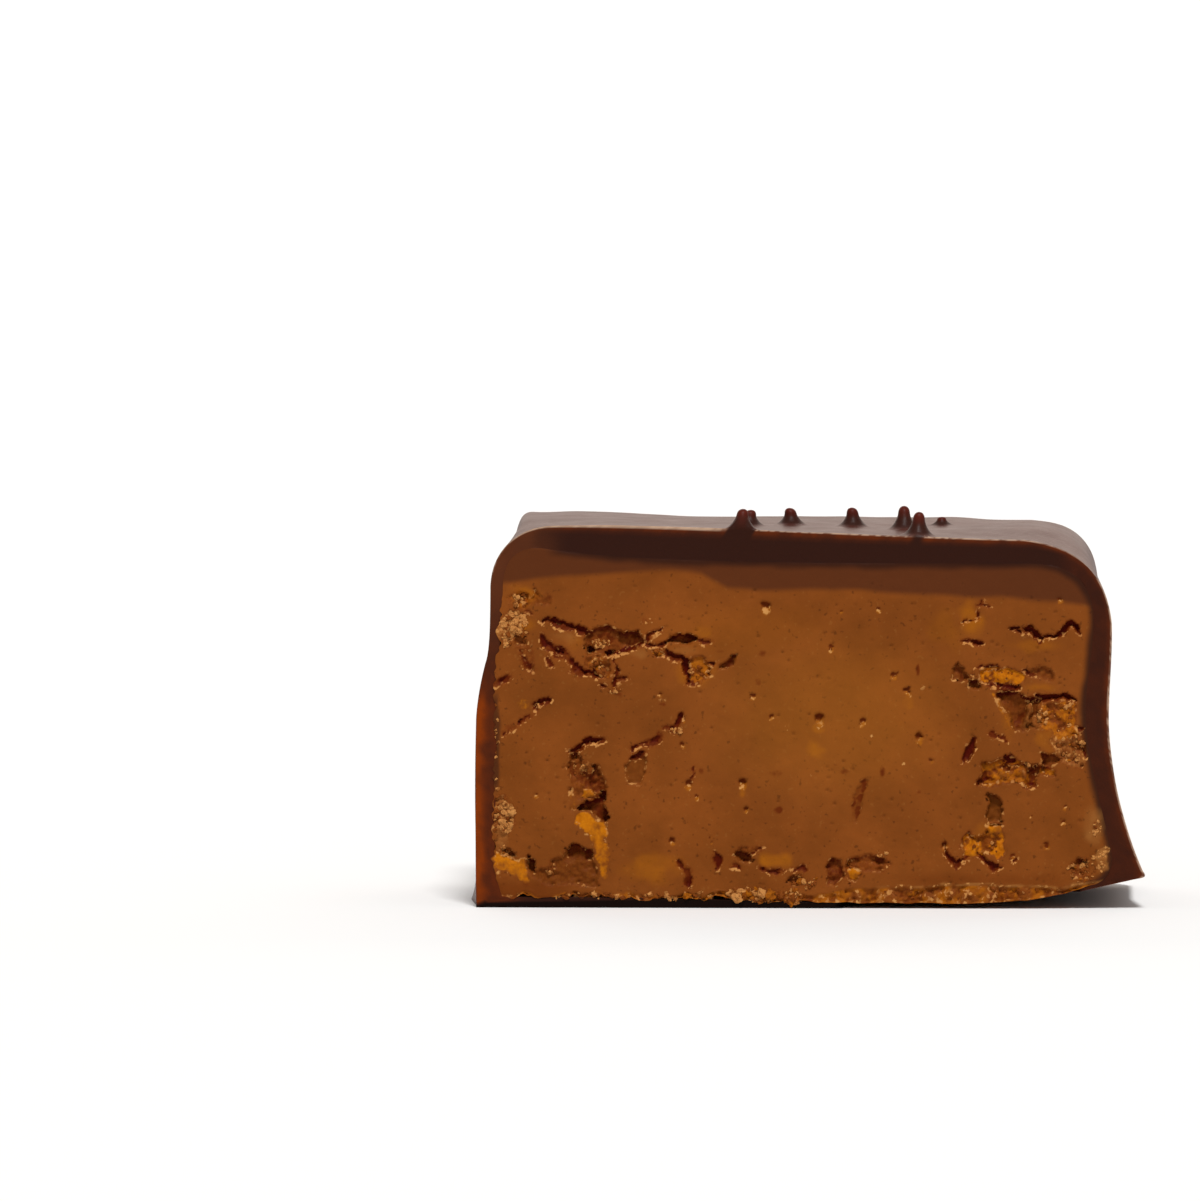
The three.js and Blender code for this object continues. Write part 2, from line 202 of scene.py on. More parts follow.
# Lays tints one over the other on a colour, each by the share in its attribute. With a grain, the share
# less the grain is made steep between two limits, so that the tint ends in a ragged edge or lies on some
# beads.
def layTints(tree, current, tints, grain=None, low=0.0, high=1.0):
    for name, tint in tints:
        share = addNode(tree, "ShaderNodeAttribute", {"attribute_name": name}, {}).outputs["Fac"]
        if grain:
            moved = addNode(tree, "ShaderNodeMath", {"operation": "SUBTRACT"}, {0: share, 1: grain})
            share = addNode(tree, "ShaderNodeMapRange", {"interpolation_type": "SMOOTHSTEP"}, {
                "Value": moved.outputs[0], "From Min": low, "From Max": high}).outputs[0]
        current = addNode(tree, "ShaderNodeMix", {"data_type": "RGBA"}, {
            0: share, 6: current, 7: colour(tint)}).outputs[2]
    return current


# Dark chocolate, tempered and set: a satin skin with a fine grain and pale specks, partly bloom and partly
# painted glints, and a dull cut edge with a painted glow of light through it where it is thin. Grain and
# specks are near 0.05 mm in truth, and are drawn coarser to show.
def darkChocolate():
    material, tree, shader, place = newMaterial("dark chocolate, satin")
    blotch = addNode(tree, "ShaderNodeTexNoise", {}, {"Vector": place, "Scale": scaleOf(3.0), "Detail": 4})
    skin = addNode(tree, "ShaderNodeMix", {"data_type": "RGBA"}, {
        0: blotch.outputs["Fac"], 6: colour("#421e15"), 7: colour("#53281c")})
    # Pale specks on the skin: partly bloom, partly painted glints of the lamps in its satin.
    specks = addNode(tree, "ShaderNodeTexNoise", {}, {"Vector": place, "Scale": scaleOf(0.18), "Detail": 1})
    bloomAndGlint = addNode(tree, "ShaderNodeMapRange", {}, {
        "Value": specks.outputs["Fac"], "From Min": 0.7, "From Max": 0.78, "To Min": 0, "To Max": 0.5})
    speckledSkin = addNode(tree, "ShaderNodeMix", {"data_type": "RGBA"}, {
        0: bloomAndGlint.outputs[0], 6: skin.outputs[2], 7: colour("#94756a")})
    current = layTints(tree, speckledSkin.outputs[2], [
        ("cut", "#2e150d"),
        ("tip", "#5a1c10"),
        ("rimGlow", "#7c3103"),
        ("smudge", "#552b16"),
        ("shade", "#100502"),
        ("burrAndGlint", "#cbab90"),
    ])
    cut = addNode(tree, "ShaderNodeAttribute", {"attribute_name": "cut"}, {})
    grain = addNode(tree, "ShaderNodeTexNoise", {}, {"Vector": place, "Scale": scaleOf(0.2), "Detail": 3})
    sheen = addNode(tree, "ShaderNodeMapRange", {}, {
        "Value": grain.outputs["Fac"], "From Min": 0.3, "From Max": 0.7, "To Min": 0.4, "To Max": 0.5})
    gloss = addNode(tree, "ShaderNodeMapRange", {}, {
        "Value": cut.outputs["Fac"], "To Min": sheen.outputs[0], "To Max": 0.06})
    haze = addNode(tree, "ShaderNodeTexNoise", {}, {"Vector": place, "Scale": scaleOf(1.1), "Detail": 4})
    dull = addNode(tree, "ShaderNodeMapRange", {}, {
        "Value": haze.outputs["Fac"], "To Min": 0.34, "To Max": 0.52})
    bump = addNode(tree, "ShaderNodeBump", {}, {
        "Height": grain.outputs["Fac"], "Strength": 0.7, "Distance": 0.03 * mm})
    tree.links.new(current, shader.inputs["Base Color"])
    tree.links.new(gloss.outputs[0], shader.inputs["Specular IOR Level"])
    tree.links.new(dull.outputs[0], shader.inputs["Roughness"])
    tree.links.new(bump.outputs["Normal"], shader.inputs["Normal"])
    shader.inputs["IOR"].default_value = 1.46
    return material


# Nut praline: a dull brown paste, mottled, with dark and pale specks. Torn places are golden or khaki, and
# break into beads of crumb about 0.14 mm wide, with painted shade between them and a painted highlight on
# their middles, some of them pale. Its specks are near 0.1 mm in truth, and are drawn coarser to show.
def praline():
    material, tree, shader, place = newMaterial("nut praline, matt")
    mottle = addNode(tree, "ShaderNodeTexNoise", {}, {
        "Vector": place, "Scale": scaleOf(3.3), "Detail": 6, "Roughness": 0.6})
    patchy = addNode(tree, "ShaderNodeMapRange", {}, {
        "Value": mottle.outputs["Fac"], "From Min": 0.22, "From Max": 0.78})
    base = addNode(tree, "ShaderNodeMix", {"data_type": "RGBA"}, {
        0: patchy.outputs[0], 6: colour("#69360e"), 7: colour("#884818")})
    specks = addNode(tree, "ShaderNodeTexNoise", {}, {"Vector": place, "Scale": scaleOf(0.19), "Detail": 1})
    dark = addNode(tree, "ShaderNodeMapRange", {}, {
        "Value": specks.outputs["Fac"], "From Min": 0.68, "From Max": 0.76, "To Min": 0, "To Max": 0.6})
    light = addNode(tree, "ShaderNodeMapRange", {}, {
        "Value": specks.outputs["Fac"], "From Min": 0.32, "From Max": 0.24, "To Min": 0, "To Max": 0.1})
    current = addNode(tree, "ShaderNodeMix", {"data_type": "RGBA"}, {
        0: dark.outputs[0], 6: base.outputs[2], 7: colour("#4a2408")}).outputs[2]
    current = addNode(tree, "ShaderNodeMix", {"data_type": "RGBA"}, {
        0: light.outputs[0], 6: current, 7: colour("#a87438")}).outputs[2]
    current = layTints(tree, current, [
        ("smear", "#542a13"),
        ("stain", "#33190f"),
        ("shadeLow", "#632c06"),
        ("honeyAndPaintedLip", "#9c580c"),
        ("tan", "#98622e"),
    ])
    ragged = addNode(tree, "ShaderNodeTexNoise", {}, {
        "Vector": place, "Scale": scaleOf(0.125), "Detail": 2})
    crumb = addNode(tree, "ShaderNodeMapRange", {}, {
        "Value": ragged.outputs["Fac"], "To Min": 0.22, "To Max": 0.78}).outputs[0]
    # Rust and khaki colour torn places; rust is also laid in low places as painted shade.
    current = layTints(tree, current, [("khaki", "#6c380d"), ("rust", "#602605")], crumb, -0.4, 0.3)
    # Gold colours wafer and torn places, laid heavier on high lumps and the upper ends of flakes as painted
    # highlight.
    current = layTints(tree, current, [("gold", "#b86c08")], crumb, -0.3, 0.45)
    # Deep: painted shade in cracks, pits, pores, low places and where the relief faces down.
    current = layTints(tree, current, [("deep", "#4a0c01")], crumb, -0.35, 0.35)
    crumble = addNode(tree, "ShaderNodeAttribute", {"attribute_name": "crumble"}, {}).outputs["Fac"]
    uneven = addNode(tree, "ShaderNodeTexNoise", {}, {"Vector": place, "Scale": scaleOf(0.17), "Detail": 2})
    bent = addNode(tree, "ShaderNodeVectorMath", {"operation": "MULTIPLY_ADD"}, {
        0: uneven.outputs["Color"], 1: (0.2 * mm, 0.2 * mm, 0.2 * mm), 2: place})
    beads = addNode(tree, "ShaderNodeTexVoronoi", {}, {"Vector": bent.outputs[0], "Scale": scaleOf(0.14)})
    own = addNode(tree, "ShaderNodeSeparateColor", {}, {0: beads.outputs["Color"]})
    tone = addNode(tree, "ShaderNodeMapRange", {}, {
        "Value": beads.outputs["Distance"], "From Min": 0.1, "From Max": 0.7, "To Min": 1.0, "To Max": 0.0})
    # Pale: pale crumbs, and painted highlight on lips below cracks and pores, on flakes' upper rims and
    # where the relief faces up.
    current = layTints(tree, current, [("pale", "#ba8246")], own.outputs[0], 0.0, 0.4)
    # Painted shade between the beads of crumb and a painted highlight on their middles.
    between = addNode(tree, "ShaderNodeMix", {"data_type": "RGBA"}, {
        0: tone.outputs[0], 6: colour("#e0b8a0"), 7: (1.2, 1.2, 1.2, 1.0)})
    current = addNode(tree, "ShaderNodeMix", {"data_type": "RGBA", "blend_type": "MULTIPLY"}, {
        0: crumble, 6: current, 7: between.outputs[2]}).outputs[2]
    grain = addNode(tree, "ShaderNodeTexNoise", {}, {"Vector": place, "Scale": scaleOf(0.22), "Detail": 3})
    fine = addNode(tree, "ShaderNodeBump", {}, {
        "Height": grain.outputs["Fac"], "Strength": 0.35, "Distance": 0.03 * mm})
    raisedBeads = addNode(tree, "ShaderNodeMath", {"operation": "MULTIPLY"}, {
        0: crumble, 1: tone.outputs[0]})
    bump = addNode(tree, "ShaderNodeBump", {}, {
        "Height": raisedBeads.outputs[0], "Strength": 0.25, "Distance": 0.05 * mm,
        "Normal": fine.outputs["Normal"]})
    tree.links.new(current, shader.inputs["Base Color"])
    tree.links.new(bump.outputs["Normal"], shader.inputs["Normal"])
    shader.inputs["Roughness"].default_value = 0.6
    shader.inputs["IOR"].default_value = 1.46
    shader.inputs["Specular IOR Level"].default_value = 0.05
    return material


chocolateFinish = darkChocolate()
pralineFinish = praline()
print("materials made")

# The coat: its outlines at the cut and behind it, each from the foot at the left over the top and back.
coat = {
    "halfWidth": 13.0,
    "height": 16.0,
    "depth": 13.0,
    "backRound": 1.8,  # rounding of the edges at the back
    "backFoot": 0.7,  # how far the foot spreads at the back
    "footHeight": 2.2,
    "settles": 5.0,  # depth at which the outline behind takes over
    "edge": 0.05,  # rounding of the cut's edges
    "wave": 0.12,  # height of the low waves
    "atCut": ((-13.5, 0), [
        (-13.54, 2.5, -13.54, 5.2, -13.5, 7.9),
        (-13.47, 8.6, -13.3, 9.6, -13.06, 10.4),
        (-12.93, 10.9, -12.9, 12.2, -12.9, 13.4),
        (-12.85, 14.9, -11.8, 15.9, -10.3, 15.97),
        (-5.5, 16.1, 3.0, 15.5, 9.3, 15.38),
        (11.5, 15.1, 12.75, 14.1, 12.97, 11.9),
        (13.0, 10.6, 12.85, 9.3, 12.85, 8.0),
        (12.85, 6.0, 13.5, 3.3, 14.3, 1.55),
        (14.45, 1.38, 14.35, 1.3, 14.1, 1.28),
        (12.6, 0.95, 10.0, 0.3, 7.5, 0.1),
        (4.0, 0, -6.0, 0, -13.5, 0),
    ]),
    "behind": ((-13.9, 0), [
        (-13.5, 1.0, -13.25, 5.0, -13.2, 8.4),
        (-13.15, 9.2, -12.95, 9.9, -12.88, 10.5),
        (-12.75, 11.3, -12.3, 12.9, -12.15, 14.3),
        (-12.0, 15.55, -11.9, 15.98, -11.35, 15.97),
        (-6.0, 16.05, 3.0, 15.62, 9.6, 15.68),
        (11.5, 15.5, 12.35, 14.8, 12.45, 12.6),
        (12.5, 11.0, 12.6, 9.3, 12.65, 8.0),
        (12.7, 5.6, 13.2, 3.2, 13.9, 1.3),
        (14.05, 1.1, 13.95, 0.95, 13.7, 0.9),
        (12.4, 0.55, 10.0, 0.1, 7.5, 0),
        (4.0, 0, -6.0, 0, -13.9, 0),
    ]),
    "leftFlare": 0.17,  # how far the left wall leans out towards the back
    "peaks": {  # the ring's middle and radius, the radius of a foot, angles in degrees, heights
        "x": 1.2, "y": 1.45, "radius": 3.8, "foot": 0.78,
        "angles": (-12, 36, 76, 116, 153, 197), "tall": (0.98, 0.97, 0.8, 0.7, 0.65, 0.83),
    },
    "stray": (5.82, 6.8, 0.34, 0.6),  # a small peak outside the ring: x, y, height, radius of its foot
    "chip": {"from": 1.75, "to": 11.6, "reach": 5.5, "ends": 8.0},  # where the base is broken away
    "counts": (34, 12, 14, 30, 0, 36, 24, 44, 10, 26, 60),  # points on each curve, apart from the top
    "topCurve": 4,
    "topColumns": [(-10.3, -3.4, 0.2), (-3.4, 6.4, 0.05), (6.4, 9.25, 0.15)],  # points: from, to, apart
    "topRows": (0.08, 7.4, 0.06),  # rows of points under the peaks: from, to, apart
    "baseCurves": (9, 10),
    "hollow": [  # rows up the inside: depth behind the cut, inset, ring share
        (12.15, 1.6, 0.3), (12.15, 1.6, 0.9), (12.15, 1.6, 1.0), (11.55, 0.9, 1.0), (10.55, 0.6, 1.0),
        (5.0, 0.6, 1.0), (3.0, 0.45, 1.0), (1.0, 0.1, 1.0),
    ],
    "rim": (0.04, 0.12, 0.22, 0.35, 0.5, 0.65, 0.78, 0.88, 0.94, 0.975),  # rows from the praline outwards
    "closing": (0.97, 0.93, 0.88, 0.82, 0.75, 0.67, 0.58, 0.48, 0.37, 0.25, 0.12),  # rings on the back wall
}

# The praline's outline inside the coat, in the same eleven curves.
filling = {
    "outline": ((-12.4, 0.45), [
        (-13.0, 1.8, -12.55, 5.2, -12.62, 8.3),
        (-12.72, 9.2, -12.45, 10.0, -12.5, 10.8),
        (-12.52, 11.6, -12.38, 12.4, -12.38, 13.3),
        (-12.38, 14.4, -11.9, 15.25, -10.4, 14.95),
        (-6.5, 14.35, 2.0, 14.4, 9.6, 14.4),
        (11.5, 14.35, 12.15, 13.5, 12.2, 12.2),
        (12.25, 11.0, 11.9, 9.6, 11.88, 8.2),
        (11.9, 6.4, 12.6, 4.2, 12.98, 2.3),
        (13.1, 1.7, 12.7, 1.05, 12.1, 1.0),
        (11.0, 0.62, 9.3, 0.25, 7.5, 0.25),
        (0.0, 0.15, -3.0, 0.45, -12.4, 0.45),
    ]),
    "base": 0.47,  # lowest place behind the cut
    "cells": (395, 224),  # points across and up the cut
    "corners": (3, 5, 8),  # curves whose middles are corners of the grid on the cut
    "skirt": [(1.2, 0.15), (3.0, 0.5), (10.5, 0.65), (11.5, 0.95), (12.0, 1.65)],  # rows: depth, inset
}


# Shares along the top curve, closer together where the ring of peaks stands.
def topShares():
    before, top = coat["atCut"][1][coat["topCurve"] - 1:coat["topCurve"] + 1]
    fine = np.linspace(0, 1, 2001)
    across = bezierPath(before[4:], [top], [fine])[:, 0]
    wanted = [np.arange(first, last, apart) for first, last, apart in coat["topColumns"]]
    return np.interp(np.concatenate(wanted), across, fine)


# A section of a body: an outline at a depth, drawn in by an inset, and scaled about its middle by a share.
def section(outline, along, inset=0.0, ring=1.0):
    middle = coat["height"] / 2
    x = outline[:, 0] * (1 - inset / coat["halfWidth"]) * ring
    z = middle + (outline[:, 1] * (1 - inset / coat["height"]) - middle) * ring
    return np.stack([x, np.broadcast_to(along, x.shape), z], axis=-1)


# Rows up the inside from the back to the cut, then across the cut rim from the praline outwards. Each row
# has a kind: whether it is cut, and its share of the way across the rim.
def insideRows(inner, atCut):
    hollow = np.stack([inner[:, 0], np.maximum(inner[:, 1], filling["base"] - 0.02)], axis=-1)
    rows = [section(hollow, *row) for row in coat["hollow"]]
    rows += [section(inner, 0.25), section(inner, 0.0)]
    kinds = [(0, 0)] * (len(rows) - 1) + [(1, 0)]
    for share in coat["rim"]:
        rim = section(inner + (atCut - inner) * share, 0.0)
        rim[:, 1] += 0.02 * noise(rim, 0.5, 3) + 0.012 * noise(rim, 0.15, 4)
        rows.append(rim)
        kinds.append((1, share))
    return rows, kinds


# Rows along the outside from the cut to the back and over it. A row is a blend of the outline at the cut
# and the one behind, moved out along the outline's normal by low waves. At the back the foot spreads, by
# the square of how far a point lies below the foot's height.
def outsideRows(atCut, behind):
    outward = np.roll(behind, -1, axis=0) - np.roll(behind, 1, axis=0)
    outward = np.stack([-outward[:, 1], outward[:, 0]], axis=-1) / np.hypot(*outward.T)[:, None]
    depth, rounding, closing = coat["depth"], coat["backRound"], coat["closing"]
    first, last, apart = coat["topRows"]
    farRows = np.linspace(last + 0.3, depth - rounding, 6)
    straight = np.concatenate([[coat["edge"]], np.arange(first, last, apart), farRows])
    turn = np.radians(np.linspace(11.25, 90, 8))
    curved = depth - rounding + rounding * np.sin(turn)
    alongs = np.concatenate([straight, curved, np.full(len(closing), depth)])
    insets = np.concatenate([straight * 0, rounding * (1 - np.cos(turn)), np.full(len(closing), rounding)])
    rings = np.concatenate([np.ones(len(straight) + len(turn)), closing])
    rows = []
    for along, inset, ring in zip(alongs, insets, rings):
        settled = step(along, 0, coat["settles"])
        row = section(atCut + (behind - atCut) * settled, along, inset, ring)
        leftWall = step(-row[:, 0], 9, 12) * step(row[:, 2], 6, 13)
        row[:, 0] -= coat["leftFlare"] * leftWall * step(along, 4, 11)
        waves = coat["wave"] * noise(row, 5.0, 5) + 0.04 * noise(row, 1.6, 6)
        waves *= step(row[:, 2], 1.2, 3.0) * (0.3 + 0.7 * settled)
        row[:, [0, 2]] += outward * waves[:, None] * step(ring, 0.85, 1.0)
        row[:, 1] += waves * step(-ring, -1.0, -0.85)
        low = np.clip(1 - row[:, 2] / coat["footHeight"], 0, 1)
        row[:, 1] += coat["backFoot"] * low ** 2 * step(along, depth - 3, depth)
        rows.append(row)
    return rows


# Breaks the base away at the right of the cut: points on it move back by a ragged reach, which falls evenly
# to nothing where the chip ends.
def breakBase(points, curve):
    chip = coat["chip"]
    x, y = points[..., 0], points[..., 1]
    under = np.isin(curve, coat["baseCurves"])[None] & (y < chip["ends"])
    window = step(x, chip["from"], chip["from"] + 0.35) * step(-x, -chip["to"], 0.8 - chip["to"])
    ragged = chip["reach"] * (1 + 0.12 * noise(points * [1, 0, 0], 0.8, 7))
    points[..., 1] = y + np.where(under, window * ragged * (1 - y / chip["ends"]), 0)


# The coat is one closed surface of rows that share the same points of the outline, flat at both ends.
def buildCoat():
    shares = [np.arange(count) / max(count, 1) for count in coat["counts"]]
    shares[coat["topCurve"]] = topShares()
    atCut = bezierPath(*coat["atCut"], shares)
    behind = bezierPath(*coat["behind"], shares)
    inner = bezierPath(*filling["outline"], shares)
    curve = np.repeat(np.arange(len(shares)), [len(share) for share in shares])
    inside, kinds = insideRows(inner, atCut)
    outside = outsideRows(atCut, behind)
    points = np.stack(inside + outside)
    kinds = np.array(kinds + [(0, 1)] * len(outside), float)
    breakBase(points, curve)
    isOutside = np.arange(len(points))[:, None] >= len(inside)
    onTop = (curve == coat["topCurve"])[None] & isOutside & (points[..., 1] < coat["topRows"][1])
    raised = raisePeaks(points, onTop)

    columns = points.shape[1]
    faces = gridFaces(len(points), columns, True)
    backEnd = (len(points) - 1) * columns
    faces.append(list(range(columns))[::-1])
    faces.append(list(range(backEnd, backEnd + columns)))
    innerEdge = np.flatnonzero(kinds[:, 0])[0] * columns + np.arange(columns)
    return addPiece("chocolate_coat", points, faces, coatTints(points, kinds, raised), chocolateFinish,
                    creased=innerEdge)


# Shares of the coat's tints. The rim of the cut has a painted glow of light through it where it is thin,
# is smudged at the upper left, has painted shade below the praline, and is pale in a broken line along its
# edge, partly a burr and partly a painted glint. The peaks are dark, with a painted red glow at their tips.
def coatTints(points, kinds, raised):
    x, y, z = np.moveaxis(points, -1, 0)
    isCut, across = kinds[:, :1], np.broadcast_to(kinds[:, 1:], x.shape)
    level = step(raised[kinds[:, 1] == 1][0], 0.1, 0.02)  # where no peak's foot meets the cut's edge
    # Painted glow: the red of light shining through the thin tips of the peaks.
    tip = 0.75 * step(raised, 0.35, 0.9)
    cut = np.maximum(isCut, 0.85 * step(raised, 0.0, 0.15))
    patchy = noise(points, 0.6, 8)

    low = 1 - step(z, 8.0, 9.8)
    base = 0.2 + 0.022 * (x + 13.5)  # the base's upper edge, which rises to the right
    left = step(-x, 11.4, 12.4) * step(z - base, -0.05, 0.05)
    # Painted glow: light catching and passing through the thin rim, strongest low at the left, fainter at
    # the top and right.
    rimGlow = left * (low * (0.3 + 0.75 * step(across, 0.35, 0.9)) + (1 - low) * 0.2)
    rimGlow = np.maximum(rimGlow, 0.38 * level * step(z, 14.0, 15.0) * step(across, 0.7, 0.95))
    rimGlow = np.maximum(rimGlow, step(x, 10.5, 11.5) * (0.1 + 0.2 * step(across, 0.6, 0.95)))
    rimGlow = np.clip(rimGlow * (0.95 + 0.3 * patchy + 0.3 * noise(points, 0.2, 34)), 0, 1) * isCut
    smudge = step(-x, 9.6, 11.4) * step(z, 9.0, 13.0) * (0.75 + 0.25 * patchy) * isCut
    shade = step(base - z, -0.05, 0.05) * step(-x, -11.6, -11.0) * (across > 0) * (y < 1)

    # The pale broken line along the edges: partly a burr of the cut, partly a painted glint where the edge
    # catches the light.
    dots = step(noise(points, 0.1, 9) + 0.5 * noise(points, 1.5, 10), -0.3, 0.3)
    leftHalf, rightWall = step(-x, 2.5, 4.0), step(x, 12.0, 12.5)
    edge = (np.abs(y - coat["edge"]) < 0.01) * (across == 1) + 0.7 * (across == coat["rim"][-1])
    edge = edge + (across == coat["rim"][-2]) * np.maximum(0.5 * rightWall, 0.8 * leftHalf)
    topEdge = step(z, 15.0, 15.4) * (0.15 + 0.6 * dots * (1 - 0.6 * leftHalf) + 0.55 * leftHalf)
    sideEdge = np.maximum(0.45 * step(z, 13.2, 14.4), 0.9 * rightWall) * (0.2 + 0.8 * dots)
    burrAndGlint = edge * np.maximum(topEdge, sideEdge) * level
    return {"tip": tip, "cut": cut, "rimGlow": rimGlow, "smudge": smudge, "shade": shade, "burrAndGlint": burrAndGlint}


# Draws peaks up out of the top: a point at a share of the foot's radius moves to the same share of a
# profile, which leaves the surface level, narrows to a neck and ends in a round tip. Gives each point's
# share of the height.
def raisePeaks(points, onTop):
    ring = coat["peaks"]
    angles = np.radians(ring["angles"])
    across = ring["x"] + ring["radius"] * np.cos(angles)
    behind = ring["y"] + ring["radius"] * np.sin(angles)
    sizes = [(x, y, tall, ring["foot"]) for x, y, tall in zip(across, behind, ring["tall"])]
    sizes.append(coat["stray"])
    fine = np.linspace(0, 1, 200)
    flare = (0.82, 0.02, 0.64, 0.1, 0.5, 0.3)
    neck = (0.42, 0.42, 0.34, 0.52, 0.32, 0.68)
    roundTip = (0.31, 0.88, 0.19, 1.0, 0.0, 1.0)
    profile = bezierPath((1, 0), [flare, neck, roundTip], [fine, fine, fine])
    shares = np.concatenate([1 - 0.4 * fine, 0.6 - 0.25 * fine, 0.35 * (1 - fine)])  # a stretch to each
    raised = np.zeros(points.shape[:2])
    for number, (x, y, tall, foot) in enumerate(sizes):
        dx, dy = points[..., 0] - x, points[..., 1] - y
        share = np.clip(np.hypot(dx, dy) / foot, 0, 1)
        radius = np.interp(share, shares[::-1], profile[::-1, 0])
        lift = np.interp(share, shares[::-1], profile[::-1, 1])
        near = onTop & (share < 1)
        lean = np.random.default_rng(number).uniform(-0.12, 0.12, 2) * tall
        scale = np.where(near, radius / np.maximum(share, 1e-6), 1)
        points[..., 0] = np.where(near, x + dx * scale + lean[0] * lift ** 2, points[..., 0])
        points[..., 1] = np.where(near, y + dy * scale + lean[1] * lift ** 2, points[..., 1])
        points[..., 2] += np.where(near, tall * lift, 0)
        raised = np.where(near, lift, raised)
    return raised


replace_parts(buildCoat(), "coat")
print("coat built")

